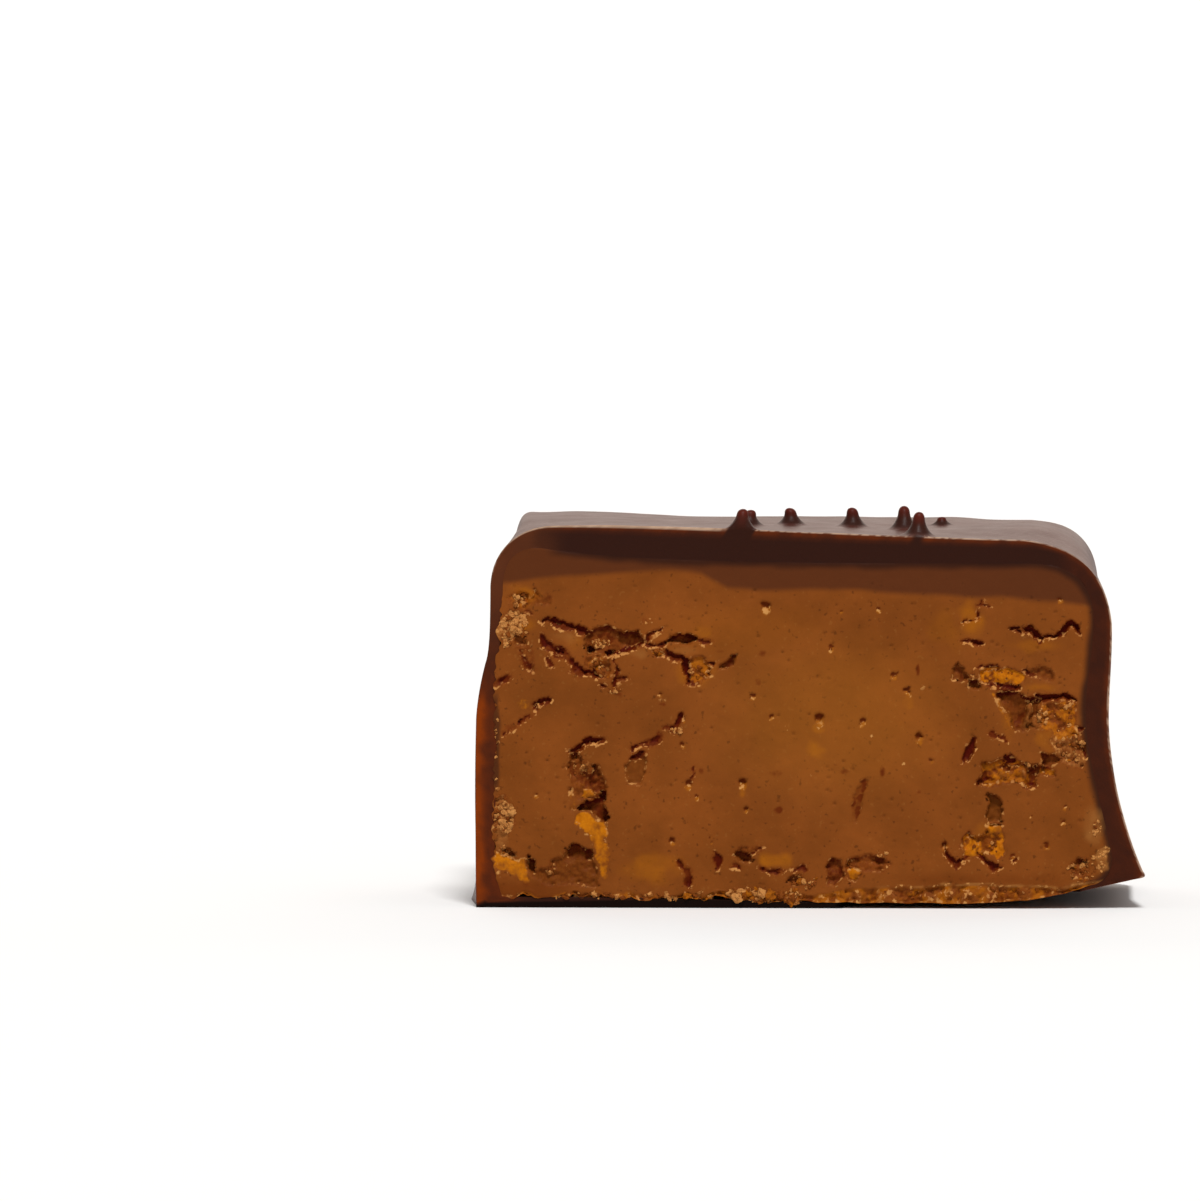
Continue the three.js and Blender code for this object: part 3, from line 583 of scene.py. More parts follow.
# What the knife left in the cut praline. Lines and outlines are (x, z) places on the cut, in mm.
cutFace = {
    "cracks": [  # line, width, depth, how far it is broken into holes
        ([(-10.66, 11.95), (-10.3, 11.93), (-9.8, 11.9), (-9.35, 11.7), (-8.8, 11.57)], 0.34, 0.8, 0.0),
        ([(-10.75, 11.5), (-10.7, 11.2), (-10.45, 10.95), (-10.1, 10.68), (-9.75, 10.45), (-9.45, 10.12),
          (-9.1, 9.87), (-8.75, 9.78), (-8.35, 9.65)], 0.42, 0.5, 0.4),
        ([(-10.4, 10.8), (-9.85, 10.5)], 0.18, 0.9, 0.0),
        ([(-8.1, 10.42), (-7.7, 10.5), (-7.3, 10.74), (-6.9, 10.92), (-6.5, 11.06)], 0.2, 0.8, 0.0),
        ([(-9.1, 9.8), (-8.7, 9.78), (-8.32, 9.66)], 0.28, 0.9, 0.0),
        ([(-7.85, 10.32), (-7.68, 10.1), (-7.62, 9.8), (-7.72, 9.5), (-7.75, 9.22)], 0.24, 0.6, 0.2),
        ([(-7.7, 9.5), (-7.45, 9.52), (-7.2, 9.5)], 0.18, 0.7, 0.2),
        ([(-8.38, 9.3), (-8.12, 9.24)], 0.16, 0.6, 0.0),
        ([(-11.5, 12.42), (-11.1, 12.26)], 0.14, 0.5, 0.2),
        ([(-11.7, 10.75), (-11.5, 10.25), (-11.15, 9.8)], 0.3, 0.25, 0.7),
        ([(-10.5, 10.5), (-10.4, 10.05)], 0.2, 0.25, 0.6),
        ([(-12.65, 9.3), (-12.35, 9.58), (-12.0, 9.72)], 0.28, 0.5, 0.5),
        ([(-6.45, 11.1), (-6.35, 11.38), (-6.05, 11.5), (-5.76, 11.66)], 0.17, 0.6, 0.1),
        ([(-6.5, 11.02), (-6.15, 10.94), (-5.8, 10.97), (-5.55, 11.14)], 0.18, 0.6, 0.0),
        ([(-4.25, 11.17), (-3.95, 11.1), (-3.68, 11.18)], 0.11, 0.4, 0.2),
        ([(-6.45, 11.95), (-6.18, 12.0)], 0.08, 0.2, 0.3),
        ([(-5.6, 10.85), (-5.5, 10.6), (-5.25, 10.44), (-4.9, 10.36), (-4.72, 10.22), (-4.78, 9.95),
          (-4.7, 9.65), (-4.58, 9.36)], 0.26, 0.9, 0.1),
        ([(-3.95, 10.33), (-3.8, 10.25), (-3.55, 10.12)], 0.18, 0.6, 0.2),
        ([(-3.9, 9.95), (-3.85, 9.8), (-3.68, 9.74)], 0.2, 0.7, 0.0),
        ([(-4.75, 9.4), (-4.45, 9.42), (-4.15, 9.38)], 0.16, 0.6, 0.2),
        ([(-10.36, 8.74), (-10.75, 8.6), (-11.15, 8.48)], 0.24, 0.7, 0.15),
        ([(-11.12, 8.5), (-11.02, 8.18)], 0.2, 0.6, 0.2),
        ([(-11.2, 8.04), (-11.6, 7.88), (-11.95, 7.56), (-12.3, 7.18)], 0.24, 0.5, 0.55),
        ([(-9.7, 6.5), (-9.3, 6.6), (-9.05, 6.76), (-8.75, 6.9), (-8.45, 6.94), (-8.13, 7.09)], 0.26, 0.8,
         0.0),
        ([(-7.05, 6.5), (-6.95, 6.68), (-6.6, 6.82), (-6.3, 6.9), (-6.0, 6.98), (-5.8, 7.1), (-5.9, 7.35)],
         0.28, 0.4, 0.5),
        ([(-5.78, 7.6), (-5.45, 7.55), (-5.2, 7.5), (-5.0, 7.8), (-4.88, 8.08)], 0.3, 0.6, 0.3),
        ([(-7.1, 6.3), (-6.85, 6.35), (-6.65, 6.42), (-6.4, 6.4)], 0.18, 0.8, 0.0),
        ([(-4.45, 5.9), (-4.42, 5.6), (-4.55, 5.4)], 0.12, 0.3, 0.2),
        ([(-2.1, 2.3), (-1.8, 2.38), (-1.48, 2.49)], 0.12, 0.6, 0.0),
        ([(-3.45, 2.3), (-3.45, 1.6)], 0.28, 0.4, 0.0),
        ([(-2.85, 1.72), (-2.65, 1.78), (-2.48, 1.6)], 0.18, 0.4, 0.3),
        ([(-1.72, 1.72), (-1.45, 1.58), (-1.1, 1.55), (-0.58, 1.6)], 0.14, 0.5, 0.1),
        ([(-0.28, 1.62), (0.0, 1.68), (0.32, 1.6)], 0.22, 0.4, 0.1),
        ([(-5.0, 1.95), (-4.8, 1.55), (-4.62, 1.15), (-4.55, 0.8)], 0.32, 0.5, 0.3),
        ([(7.3, 12.6), (7.55, 12.62), (7.87, 12.58)], 0.12, 0.5, 0.1),
        ([(7.5, 12.62), (7.6, 12.8)], 0.1, 0.4, 0.0),
        ([(7.35, 12.42), (7.42, 12.1)], 0.14, 0.5, 0.2),
        ([(6.73, 12.0), (7.0, 12.02), (7.32, 12.1)], 0.11, 0.6, 0.1),
        ([(6.75, 11.2), (7.15, 11.17)], 0.1, 0.4, 0.1),
        ([(7.12, 11.15), (7.35, 11.11), (7.74, 11.05)], 0.19, 0.7, 0.0),
        ([(8.65, 11.7), (9.0, 11.74), (9.24, 11.52)], 0.2, 0.8, 0.0),
        ([(9.28, 11.74), (9.6, 11.64), (9.8, 11.42), (10.04, 11.26)], 0.22, 0.9, 0.0),
        ([(9.85, 11.32), (10.02, 11.27), (10.2, 11.34)], 0.26, 0.9, 0.0),
        ([(10.15, 11.36), (10.6, 11.44), (10.95, 11.52), (11.2, 11.82)], 0.22, 0.9, 0.05),
        ([(11.0, 11.62), (11.22, 11.86), (11.42, 11.74), (11.58, 11.5)], 0.3, 0.9, 0.0),
        ([(7.62, 9.98), (7.95, 10.02), (8.3, 9.98)], 0.22, 0.6, 0.0),
        ([(7.6, 9.45), (8.0, 9.34), (8.4, 9.27), (8.75, 9.26), (9.12, 9.2)], 0.22, 0.8, 0.0),
        ([(9.2, 10.0), (9.55, 9.86), (9.82, 9.74)], 0.16, 0.5, 0.2),
        ([(7.35, 10.0), (7.62, 10.06)], 0.12, 0.4, 0.2),
        ([(9.3, 8.82), (10.0, 8.83), (10.6, 8.78), (11.1, 8.86), (11.45, 8.75)], 0.2, 0.9, 0.0),
        ([(7.26, 7.15), (7.12, 6.7), (6.8, 6.05)], 0.32, 0.6, 0.0),
        ([(7.88, 7.33), (8.15, 7.25), (8.62, 7.03)], 0.28, 0.3, 0.1),
        ([(8.3, 6.2), (8.6, 6.15), (9.04, 6.1)], 0.38, 0.9, 0.0),
        ([(9.0, 6.03), (9.4, 6.0)], 0.14, 0.7, 0.1),
        ([(9.7, 5.98), (10.0, 5.9), (10.42, 5.88)], 0.22, 0.8, 0.1),
        ([(9.28, 5.32), (9.55, 5.14), (9.82, 5.2)], 0.26, 0.7, 0.1),
        ([(9.48, 5.77), (9.82, 5.64)], 0.32, 0.6, 0.0),
        ([(7.33, 5.3), (7.8, 5.42), (8.22, 5.4)], 0.2, 0.5, 0.1),
        ([(11.5, 7.66), (11.8, 7.52)], 0.2, 0.6, 0.0),
        ([(11.28, 7.36), (11.62, 7.3)], 0.18, 0.6, 0.1),
        ([(11.78, 6.58), (11.98, 6.3)], 0.18, 0.6, 0.1),
        ([(5.93, 2.72), (6.12, 2.2), (6.5, 1.75), (6.88, 2.02), (7.1, 2.2)], 0.22, 0.6, 0.2),
        ([(7.42, 2.37), (7.8, 1.98), (8.1, 1.7), (8.43, 1.74)], 0.24, 0.6, 0.15),
        ([(6.75, 2.55), (6.75, 2.95), (6.95, 3.1), (7.32, 2.73)], 0.2, 0.6, 0.1),
        ([(8.73, 2.07), (8.95, 1.98), (9.12, 2.07)], 0.1, 0.4, 0.0),
    ],
    # A pit's deep share is painted shade inside it.
    "pits": [  # outline, depth, roughness of the floor, shares of its tints
        ([(-9.0, 11.6), (-8.6, 11.68), (-8.1, 11.82), (-7.85, 11.68), (-7.5, 11.54), (-7.0, 11.5),
          (-6.8, 11.57), (-6.6, 11.36), (-6.42, 11.1), (-6.7, 10.98), (-7.2, 10.85), (-7.5, 10.66),
          (-7.75, 10.45), (-8.1, 10.37), (-8.4, 10.62), (-8.85, 10.55), (-9.02, 11.0)], 0.32, 0.25,
         {"rust": 0.9, "deep": 0.08}),
        ([(-7.6, 11.5), (-6.8, 11.52), (-6.45, 11.12), (-7.2, 10.88), (-7.6, 11.0)], 0.4, 0.0,
         {"deep": 0.2}),
        ([(-8.95, 10.9), (-8.75, 10.98), (-8.5, 10.8), (-8.55, 10.6), (-8.85, 10.58)], 0.6, 0.0,
         {"deep": 0.8}),
        ([(-8.2, 10.62), (-7.9, 10.72), (-7.55, 10.66), (-7.85, 10.42), (-8.1, 10.38)], 0.6, 0.0,
         {"deep": 0.7}),
        ([(-8.95, 10.45), (-8.45, 10.55), (-8.1, 10.3), (-7.9, 10.1), (-7.95, 9.6), (-8.3, 9.55),
          (-8.5, 9.9), (-8.85, 10.0)], 0.1, 0.9, {"gold": 0.35, "rust": 0.15, "pale": 0.2}),
        ([(-5.64, 11.08), (-5.5, 11.26), (-5.3, 11.4), (-4.95, 11.5), (-4.6, 11.46), (-4.4, 11.34),
          (-4.2, 11.16), (-4.7, 11.05), (-5.3, 11.08)], 0.45, 0.0, {"rust": 1.0, "deep": 0.45}),
        ([(-6.25, 10.85), (-5.65, 10.9), (-5.6, 10.5), (-6.0, 10.45)], 0.1, 1.0,
         {"pale": 0.15, "khaki": 0.4}),
        ([(-4.6, 10.45), (-4.0, 10.45), (-3.75, 10.1), (-3.65, 9.75), (-4.0, 9.55), (-4.3, 9.4),
          (-4.6, 9.45), (-4.65, 9.9)], 0.2, 0.6, {"gold": 0.42, "rust": 0.5}),
        ([(-3.45, 9.92), (-3.32, 10.25), (-3.0, 10.43), (-2.62, 10.6), (-2.72, 10.28), (-3.0, 10.0)], 0.28,
         0.1, {"rust": 0.9, "deep": 0.3}),
        ([(-12.2, 13.0), (-11.95, 13.15), (-11.6, 13.25), (-11.3, 13.05), (-11.15, 12.8), (-11.4, 12.5),
          (-11.8, 12.45), (-12.05, 12.7)], 0.12, 0.8, {"rust": 0.4, "pale": 0.3, "gold": 0.3}),
        ([(-11.2, 13.0), (-11.05, 13.15), (-10.98, 13.5), (-10.85, 13.2), (-10.6, 13.0), (-10.5, 13.25),
          (-10.42, 13.1), (-10.28, 13.0), (-10.4, 12.72), (-10.75, 12.65), (-11.0, 12.75)], 0.16, 0.4,
         {"rust": 0.8}),
        ([(-12.55, 11.9), (-12.3, 12.1), (-11.9, 12.4), (-11.5, 12.35), (-11.55, 12.0), (-11.55, 11.6),
          (-11.85, 11.35), (-12.1, 11.0), (-12.3, 10.9), (-12.45, 11.3)], 0.1, 1.0,
         {"pale": 0.6, "tan": 0.9}),
        ([(-11.9, 11.45), (-11.5, 11.35), (-11.35, 10.95), (-11.75, 10.9), (-11.95, 11.1)], 0.25, 0.3,
         {"rust": 0.8}),
        ([(-11.8, 10.8), (-11.3, 10.9), (-11.05, 10.5), (-11.0, 9.85), (-11.3, 9.8), (-11.6, 10.3)], 0.06,
         0.9, {"rust": 0.3, "pale": 0.15}),
        ([(-9.7, 6.52), (-9.25, 6.5), (-9.1, 6.2), (-8.9, 5.95), (-8.72, 5.8), (-8.45, 6.02), (-8.3, 5.85),
          (-8.28, 5.55), (-8.08, 5.3), (-7.98, 5.05), (-8.02, 4.5), (-8.4, 4.55), (-8.9, 4.45), (-9.3, 4.5),
          (-9.45, 5.0), (-9.58, 5.5), (-9.7, 6.0)], 0.22, 0.7, {"gold": 0.2, "rust": 0.6}),
        ([(-9.7, 6.5), (-9.3, 6.5), (-9.25, 6.2), (-9.5, 6.05), (-9.7, 6.1)], 0.42, 0.2,
         {"rust": 1.0, "deep": 0.3}),
        ([(-8.82, 5.5), (-8.48, 5.95), (-8.3, 5.6), (-8.35, 5.3), (-8.55, 5.15), (-8.78, 5.02)], 0.36, 0.15,
         {"rust": 1.0, "deep": 0.2}),
        ([(-8.42, 4.72), (-8.15, 4.99), (-8.0, 4.9), (-8.02, 4.55), (-8.3, 4.58)], 0.55, 0.0,
         {"deep": 0.9}),
        ([(-9.26, 4.02), (-9.24, 4.32), (-8.85, 4.4), (-8.5, 4.55), (-8.25, 4.66), (-8.05, 4.55),
          (-8.2, 4.25), (-8.02, 4.0), (-7.95, 3.72), (-8.1, 3.5), (-8.4, 3.7), (-8.75, 3.92),
          (-9.05, 3.97)], 0.5, 0.15, {"rust": 1.0, "deep": 0.3}),
        ([(-7.32, 5.98), (-7.1, 6.25), (-6.75, 6.4), (-6.42, 6.3), (-6.46, 5.9), (-6.52, 5.4), (-6.6, 5.15),
          (-7.15, 5.1), (-7.2, 5.6)], 0.18, 0.0, {"khaki": 0.6}),
        ([(-11.4, 2.2), (-11.05, 1.9), (-11.0, 1.55), (-10.7, 1.65), (-10.45, 1.7), (-10.35, 2.05),
          (-10.0, 2.1), (-9.85, 2.05), (-9.75, 2.4), (-9.6, 2.55), (-9.3, 2.65), (-8.9, 2.4), (-8.7, 2.4),
          (-8.5, 1.9), (-8.4, 1.5), (-8.3, 0.8), (-9.4, 0.9), (-10.6, 1.0), (-11.1, 1.3)], 0.16, 0.6,
         {"rust": 0.3, "khaki": 0.6}),
        ([(-11.42, 2.22), (-11.05, 1.9), (-11.02, 1.45), (-11.3, 1.5)], 0.45, 0.1,
         {"rust": 1.0, "deep": 0.3}),
        ([(-9.75, 2.45), (-9.3, 2.65), (-8.95, 2.42), (-8.65, 2.38), (-8.5, 1.95), (-9.0, 1.9),
          (-9.6, 2.0)], 0.4, 0.2, {"rust": 0.9}),
        ([(-12.6, 4.6), (-12.3, 4.65), (-12.05, 4.2), (-11.95, 3.9), (-11.85, 3.5), (-12.65, 3.5),
          (-12.65, 4.0)], 0.12, 1.0, {"pale": 0.5, "tan": 0.8, "rust": 0.2}),
        # This pit's rust stands for a brown shadow: painted shade.
        ([(-12.45, 2.52), (-12.05, 2.47), (-11.75, 2.25), (-12.0, 2.1), (-12.3, 2.3)], 0.3, 0.1,
         {"rust": 0.9}),
        ([(-2.8, 2.28), (-2.45, 2.36), (-2.1, 2.32), (-1.92, 2.05), (-2.2, 1.9), (-2.5, 2.0)], 0.35, 0.2,
         {"rust": 1.0, "deep": 0.4}),
        ([(-2.75, 2.35), (-2.5, 2.55), (-2.1, 2.5), (-1.6, 2.54), (-2.0, 2.35)], 0.08, 0.9,
         {"khaki": 0.5, "pale": 0.15}),
        ([(1.1, 1.75), (1.3, 2.06), (1.77, 2.12), (1.8, 1.6), (1.95, 1.3), (1.7, 1.0), (1.2, 0.9),
          (1.1, 1.4)], 0.28, 0.5, {"rust": 0.95, "deep": 0.4}),
        ([(1.88, 1.7), (2.05, 2.05), (2.4, 2.2), (2.9, 2.27), (3.3, 2.1), (3.6, 2.04), (3.78, 1.8),
          (3.5, 1.54), (3.0, 1.48), (2.6, 1.46), (2.4, 1.22), (2.15, 1.03), (1.95, 1.3)], 0.26, 0.8,
         {"gold": 0.2, "rust": 0.7, "pale": 0.1}),
        ([(-0.67, 1.1), (-0.3, 1.44), (-0.06, 1.3), (-0.1, 0.9), (-0.42, 0.86)], 0.3, 0.2,
         {"rust": 0.9, "deep": 0.3}),
        ([(6.3, 9.48), (6.3, 10.0), (6.52, 10.3), (6.65, 10.12), (6.85, 10.1), (7.05, 9.6), (6.85, 9.53)],
         0.25, 0.25, {"rust": 0.6, "khaki": 0.3}),
        ([(7.0, 9.13), (7.0, 9.5), (7.5, 9.5), (7.5, 9.2), (7.25, 9.08)], 0.35, 0.2, {"rust": 0.9}),
        ([(7.45, 9.9), (7.8, 10.0), (8.4, 10.02), (9.0, 10.0), (9.4, 9.8), (9.3, 9.45), (9.0, 9.3),
          (8.0, 9.35), (7.6, 9.45)], 0.2, 0.7, {"gold": 0.65, "rust": 0.5}),
        ([(9.3, 10.0), (9.9, 10.1), (10.4, 10.0), (10.6, 9.7), (10.45, 9.5), (9.8, 9.6), (9.45, 9.75)],
         0.18, 0.2, {"rust": 0.4, "khaki": 0.3}),
        ([(8.22, 9.0), (8.26, 8.7), (8.42, 8.4), (8.62, 8.2), (8.76, 7.9), (8.86, 7.6), (9.05, 7.42),
          (9.5, 7.45), (9.92, 7.5), (10.0, 8.0), (9.95, 8.5), (10.1, 8.78), (9.4, 8.9), (9.0, 9.1),
          (8.6, 9.12)], 0.45, 0.1, {"rust": 0.9, "deep": 0.2}),
        ([(10.05, 8.6), (10.5, 8.6), (11.1, 8.75), (11.45, 8.6), (11.5, 8.1), (11.55, 7.6), (11.7, 7.3),
          (11.2, 7.05), (10.6, 7.0), (10.5, 7.4), (10.0, 7.5), (10.0, 8.1)], 0.14, 0.8,
         {"gold": 0.45, "rust": 0.3, "pale": 0.1}),
        ([(10.5, 7.2), (11.2, 7.05), (11.7, 7.25), (11.95, 6.8), (12.0, 6.3), (11.7, 5.85), (11.2, 6.0),
          (10.7, 6.2), (10.55, 6.7)], 0.14, 1.0, {"pale": 0.3, "tan": 0.5, "rust": 0.4}),
        ([(9.98, 6.5), (10.4, 6.47), (10.9, 6.22), (10.5, 5.92), (10.1, 6.02)], 0.3, 0.3, {"rust": 0.85}),
        ([(7.33, 5.25), (7.55, 5.6), (7.55, 6.06), (8.0, 6.1), (8.4, 6.3), (9.0, 6.3), (9.35, 6.0),
          (9.9, 6.0), (10.5, 5.9), (10.66, 5.6), (10.0, 5.5), (9.85, 5.2), (9.5, 5.02), (9.25, 5.25),
          (8.6, 5.25), (8.2, 5.2), (7.8, 5.1)], 0.26, 0.8, {"gold": 0.45, "rust": 0.65}),
        ([(7.78, 4.68), (7.9, 4.87), (8.2, 4.73), (8.36, 4.4), (8.46, 4.0), (8.4, 3.67), (7.9, 3.62),
          (7.8, 3.75), (7.92, 4.3)], 0.3, 0.1, {"khaki": 0.9}),
        ([(6.7, 2.6), (6.72, 3.0), (6.95, 3.12), (7.3, 2.95), (7.7, 3.2), (8.0, 3.6), (8.4, 3.6),
          (8.46, 2.9), (8.45, 2.1), (8.1, 1.95), (7.7, 2.2), (7.2, 2.15), (6.85, 2.1)], 0.2, 0.7,
         {"gold": 0.65, "rust": 0.45}),
        ([(2.92, 5.55), (2.48, 5.25), (2.2, 4.75), (2.14, 4.2), (2.3, 3.48), (2.52, 4.1), (2.7, 4.8)], 0.1,
         0.0, {"rust": 0.95}),
        ([(11.15, 1.6), (11.5, 2.17), (12.0, 2.1), (12.1, 1.7), (11.9, 1.35), (11.4, 1.3)], 0.26, 0.8,
         {"rust": 0.7, "pale": 0.2}),
    ],
    "flakes": [  # wafer and nut that lie in the cut: outline, depth of its face, shares of its tints
        ([(-9.4, 3.75), (-9.2, 3.92), (-8.9, 3.92), (-8.45, 3.66), (-8.1, 3.5), (-8.05, 3.2), (-8.15, 2.9),
          (-8.0, 2.7), (-7.92, 2.4), (-7.9, 1.9), (-7.9, 1.3), (-8.05, 1.05), (-8.3, 1.35), (-8.35, 1.75),
          (-8.5, 2.2), (-8.6, 2.6), (-8.9, 3.05), (-9.4, 3.5)], -0.08, {"gold": 0.95}),
        ([(-12.62, 2.46), (-12.4, 2.26), (-12.1, 2.2), (-11.95, 2.05), (-11.6, 2.1), (-11.45, 2.16),
          (-11.35, 1.5), (-11.25, 0.88), (-11.5, 0.83), (-11.9, 1.2), (-12.3, 1.5), (-12.68, 1.6)], -0.06,
         {"gold": 0.85}),
        ([(-12.6, 1.5), (-12.2, 1.55), (-11.95, 1.3), (-12.2, 1.1), (-12.5, 1.15)], -0.1, {"pale": 0.4}),
        ([(-9.66, 5.0), (-9.5, 5.0), (-9.36, 4.5), (-9.28, 4.1), (-9.45, 3.88), (-9.6, 4.3)], -0.03,
         {"gold": 0.45, "pale": 0.3}),
        ([(-9.0, 5.05), (-8.65, 5.03), (-8.45, 4.75), (-8.75, 4.5), (-9.1, 4.52)], 0.0, {"gold": 0.75}),
        ([(-12.68, 3.5), (-11.9, 3.45), (-12.15, 3.1), (-12.15, 2.55), (-12.68, 2.45)], 0.02,
         {"tan": 0.5, "pale": 0.15}),
        ([(1.95, 1.6), (2.25, 1.72), (2.55, 1.5), (2.4, 1.2), (2.15, 1.08)], 0.06, {"gold": 0.9}),
        ([(9.45, 8.7), (9.75, 8.75), (9.7, 8.2), (9.45, 7.5), (9.25, 7.5), (9.45, 8.1)], 0.2,
         {"tan": 0.6, "pale": 0.2}),
        ([(8.0, 8.95), (8.2, 8.95), (8.3, 8.55), (8.5, 8.2), (8.7, 7.8), (8.85, 7.45), (8.7, 7.4),
          (8.45, 7.9), (8.2, 8.3)], 0.0, {"gold": 0.85}),
        ([(9.65, 8.0), (9.95, 8.0), (9.95, 7.5), (9.5, 7.48)], 0.12, {"tan": 0.2}),
        ([(8.3, 5.75), (8.6, 5.87), (8.86, 5.6), (8.65, 5.4), (8.35, 5.45)], 0.02, {"gold": 0.6}),
        ([(9.15, 5.75), (9.3, 5.92), (9.45, 5.7), (9.45, 5.4), (9.2, 5.45)], 0.0,
         {"gold": 0.4, "pale": 0.45}),
        ([(7.0, 2.3), (7.2, 2.62), (7.47, 2.55), (7.4, 2.2), (7.15, 2.1)], 0.0, {"gold": 1.2}),
        ([(7.75, 3.57), (8.4, 3.5), (8.42, 3.15), (7.9, 3.15)], 0.0, {"gold": 0.95}),
        ([(7.6, 2.5), (8.1, 2.3), (8.2, 1.95), (7.75, 2.05)], 0.03, {"pale": 0.3}),
        ([(12.3, 2.3), (12.6, 2.62), (12.85, 2.55), (12.85, 1.6), (12.45, 1.4), (12.35, 1.9)], -0.04,
         {"tan": 1.0, "pale": 0.3}),
    ],
    "patches": {  # soft patches of each tint: middle, reach along x and z, strength
        "honeyAndPaintedLip": [
            (-6.2, 1.7, 1.4, 0.8, 0.6), (7.1, 11.95, 0.75, 0.85, 0.75), (-3.95, 11.5, 0.6, 0.35, 0.4),
            (7.6, 2.8, 0.9, 0.7, 0.6), (-1.0, 2.0, 0.85, 0.4, 0.8), (0.8, 7.55, 0.3, 0.3, 0.6),
            (4.9, 6.95, 0.25, 0.2, 0.7), (-2.4, 4.78, 0.22, 0.3, 0.7), (4.5, 8.6, 0.3, 0.55, 0.5),
            (6.1, 11.6, 1.2, 1.0, 0.25), (-4.3, 9.8, 0.8, 0.7, 0.5), (10.0, 11.0, 1.3, 0.35, 0.5),
            (1.5, 8.0, 6.0, 4.0, 0.3), (0.6, 7.2, 1.4, 1.6, 0.25), (4.4, 8.0, 0.8, 1.8, 0.25),
            (-2.5, 11.5, 5.0, 1.5, 0.15), (-11.2, 11.8, 0.5, 0.4, 0.5), (-9.3, 11.1, 0.4, 0.35, 0.3),
            (8.6, 7.9, 0.35, 0.8, 0.5), (10.0, 9.25, 0.8, 0.25, 0.6), (10.3, 7.3, 0.5, 0.8, 0.5),
            (0.6, 6.6, 0.7, 0.6, 0.7), (-11.4, 13.0, 0.9, 0.5, 0.6),
        ],
        "gold": [
            (-6.1, 1.7, 1.1, 0.7, 0.1), (-11.5, 8.5, 0.35, 0.35, 0.5), (7.9, 2.75, 0.4, 0.35, 0.5),
            (10.7, 8.3, 0.45, 0.3, 0.3),
        ],
        "tan": [
            (1.0, 7.8, 6.5, 4.5, 0.1), (12.25, 3.5, 0.45, 0.8, 0.55), (-9.75, 11.3, 0.65, 0.3, 0.35),
            (-6.9, 10.65, 0.55, 0.3, 0.35), (-4.9, 10.75, 0.7, 0.25, 0.3), (8.35, 8.6, 0.25, 0.6, 0.3),
        ],
        "pale": [
            (-5.75, 8.75, 0.3, 0.2, 0.4), (-7.5, 9.25, 0.2, 0.22, 0.5), (-5.0, 7.38, 0.2, 0.12, 0.6),
            (0.48, 5.58, 0.16, 0.14, 1.4), (4.33, 6.05, 0.18, 0.15, 1.2), (3.0, 7.2, 0.15, 0.13, 1.2),
            (-0.57, 7.53, 0.13, 0.2, 1.0), (5.07, 9.2, 0.2, 0.12, 1.0),
        ],
        # The first rust patch is painted shade under the pale lump at (-7.5, 9.25).
        "rust": [
            (-7.55, 8.85, 0.2, 0.2, 0.6), (-4.1, 5.75, 0.16, 0.2, 0.6), (-3.3, 10.72, 0.25, 0.08, 0.5),
            (-5.75, 8.5, 0.22, 0.1, 0.8), (9.9, 10.2, 0.2, 0.06, 0.5), (1.5, 6.0, 0.2, 0.16, 0.9),
            (1.85, 5.7, 0.3, 0.16, 0.8), (-0.9, 5.63, 0.5, 0.22, 0.5), (-0.84, 4.12, 0.3, 0.24, 0.9),
            (3.43, 5.63, 0.2, 0.3, 0.7), (4.96, 4.87, 0.18, 0.15, 0.7), (-1.53, 10.66, 0.25, 0.25, 0.5),
            (-1.75, 9.43, 0.16, 0.2, 0.6), (4.9, 9.95, 0.1, 0.35, 0.7),
        ],
        "khaki": [
            (-5.0, 7.3, 0.3, 0.12, 0.6),
        ],
    },
    "pores": [  # place, radius, depth
        (-1.47, 12.63, 0.26, 0.5), (-5.8, 8.92, 0.09, 0.3), (-1.98, 8.86, 0.14, 0.3),
        (-4.64, 5.25, 0.19, 0.4), (-4.33, 4.65, 0.1, 0.2), (-2.4, 5.22, 0.2, 0.6), (-2.22, 4.11, 0.13, 0.4),
        (1.25, 10.8, 0.09, 0.1), (-1.19, 8.02, 0.12, 0.3), (0.83, 7.95, 0.27, 0.6), (2.6, 7.81, 0.16, 0.35),
        (4.94, 7.18, 0.2, 0.6), (5.5, 6.18, 0.1, 0.3), (-5.33, 2.76, 0.13, 0.4), (-3.72, 2.98, 0.08, 0.2),
        (4.45, 9.1, 0.18, 0.4), (3.93, 9.83, 0.13, 0.3), (1.3, 10.9, 0.15, 0.25), (1.78, 12.37, 0.08, 0.2),
        (3.2, 12.5, 0.12, 0.2), (8.86, 2.2, 0.14, 0.2), (10.25, 2.64, 0.13, 0.3), (10.97, 3.69, 0.1, 0.25),
        (-4.9, 6.83, 0.12, 0.35), (6.0, 2.65, 0.18, 0.6), (10.88, 12.92, 0.13, 0.3),
        (10.97, 4.25, 0.09, 0.2), (-11.0, 4.75, 0.09, 0.2), (-12.35, 2.95, 0.09, 0.25),
        (-4.8, 7.8, 0.09, 0.3), (-3.66, 2.75, 0.06, 0.2), (9.6, 3.85, 0.05, 0.1),
    ],
    "finePores": {"count": 240, "small": 0.03, "large": 0.07},
    "smearEdge": [  # lower edge of the chocolate that the knife drew down
        (-13, 13.5), (-12, 13.6), (-10, 13.85), (-7.2, 14.04), (-5.4, 14.1), (-4.1, 14.0), (-3.0, 13.4),
        (-1.7, 13.3), (0.8, 13.35), (5.5, 13.1), (9.2, 12.95), (13, 12.6),
    ],
    "tornEdge": [  # upper edge of the torn strip along the base
        (-13, 0.55), (0.5, 0.6), (2.4, 0.85), (6, 0.97), (10, 0.92), (11, 0.9), (13, 1.2),
    ],
    "grain": 0.17,  # crumbs of the praline
    "chip": 0.45,  # clumps of them
    "jag": 0.06,
}


# Lays a tint over what is on the face, by the larger share.
def lay(face, name, share):
    face.tints[name] = np.maximum(face.tints[name], share)
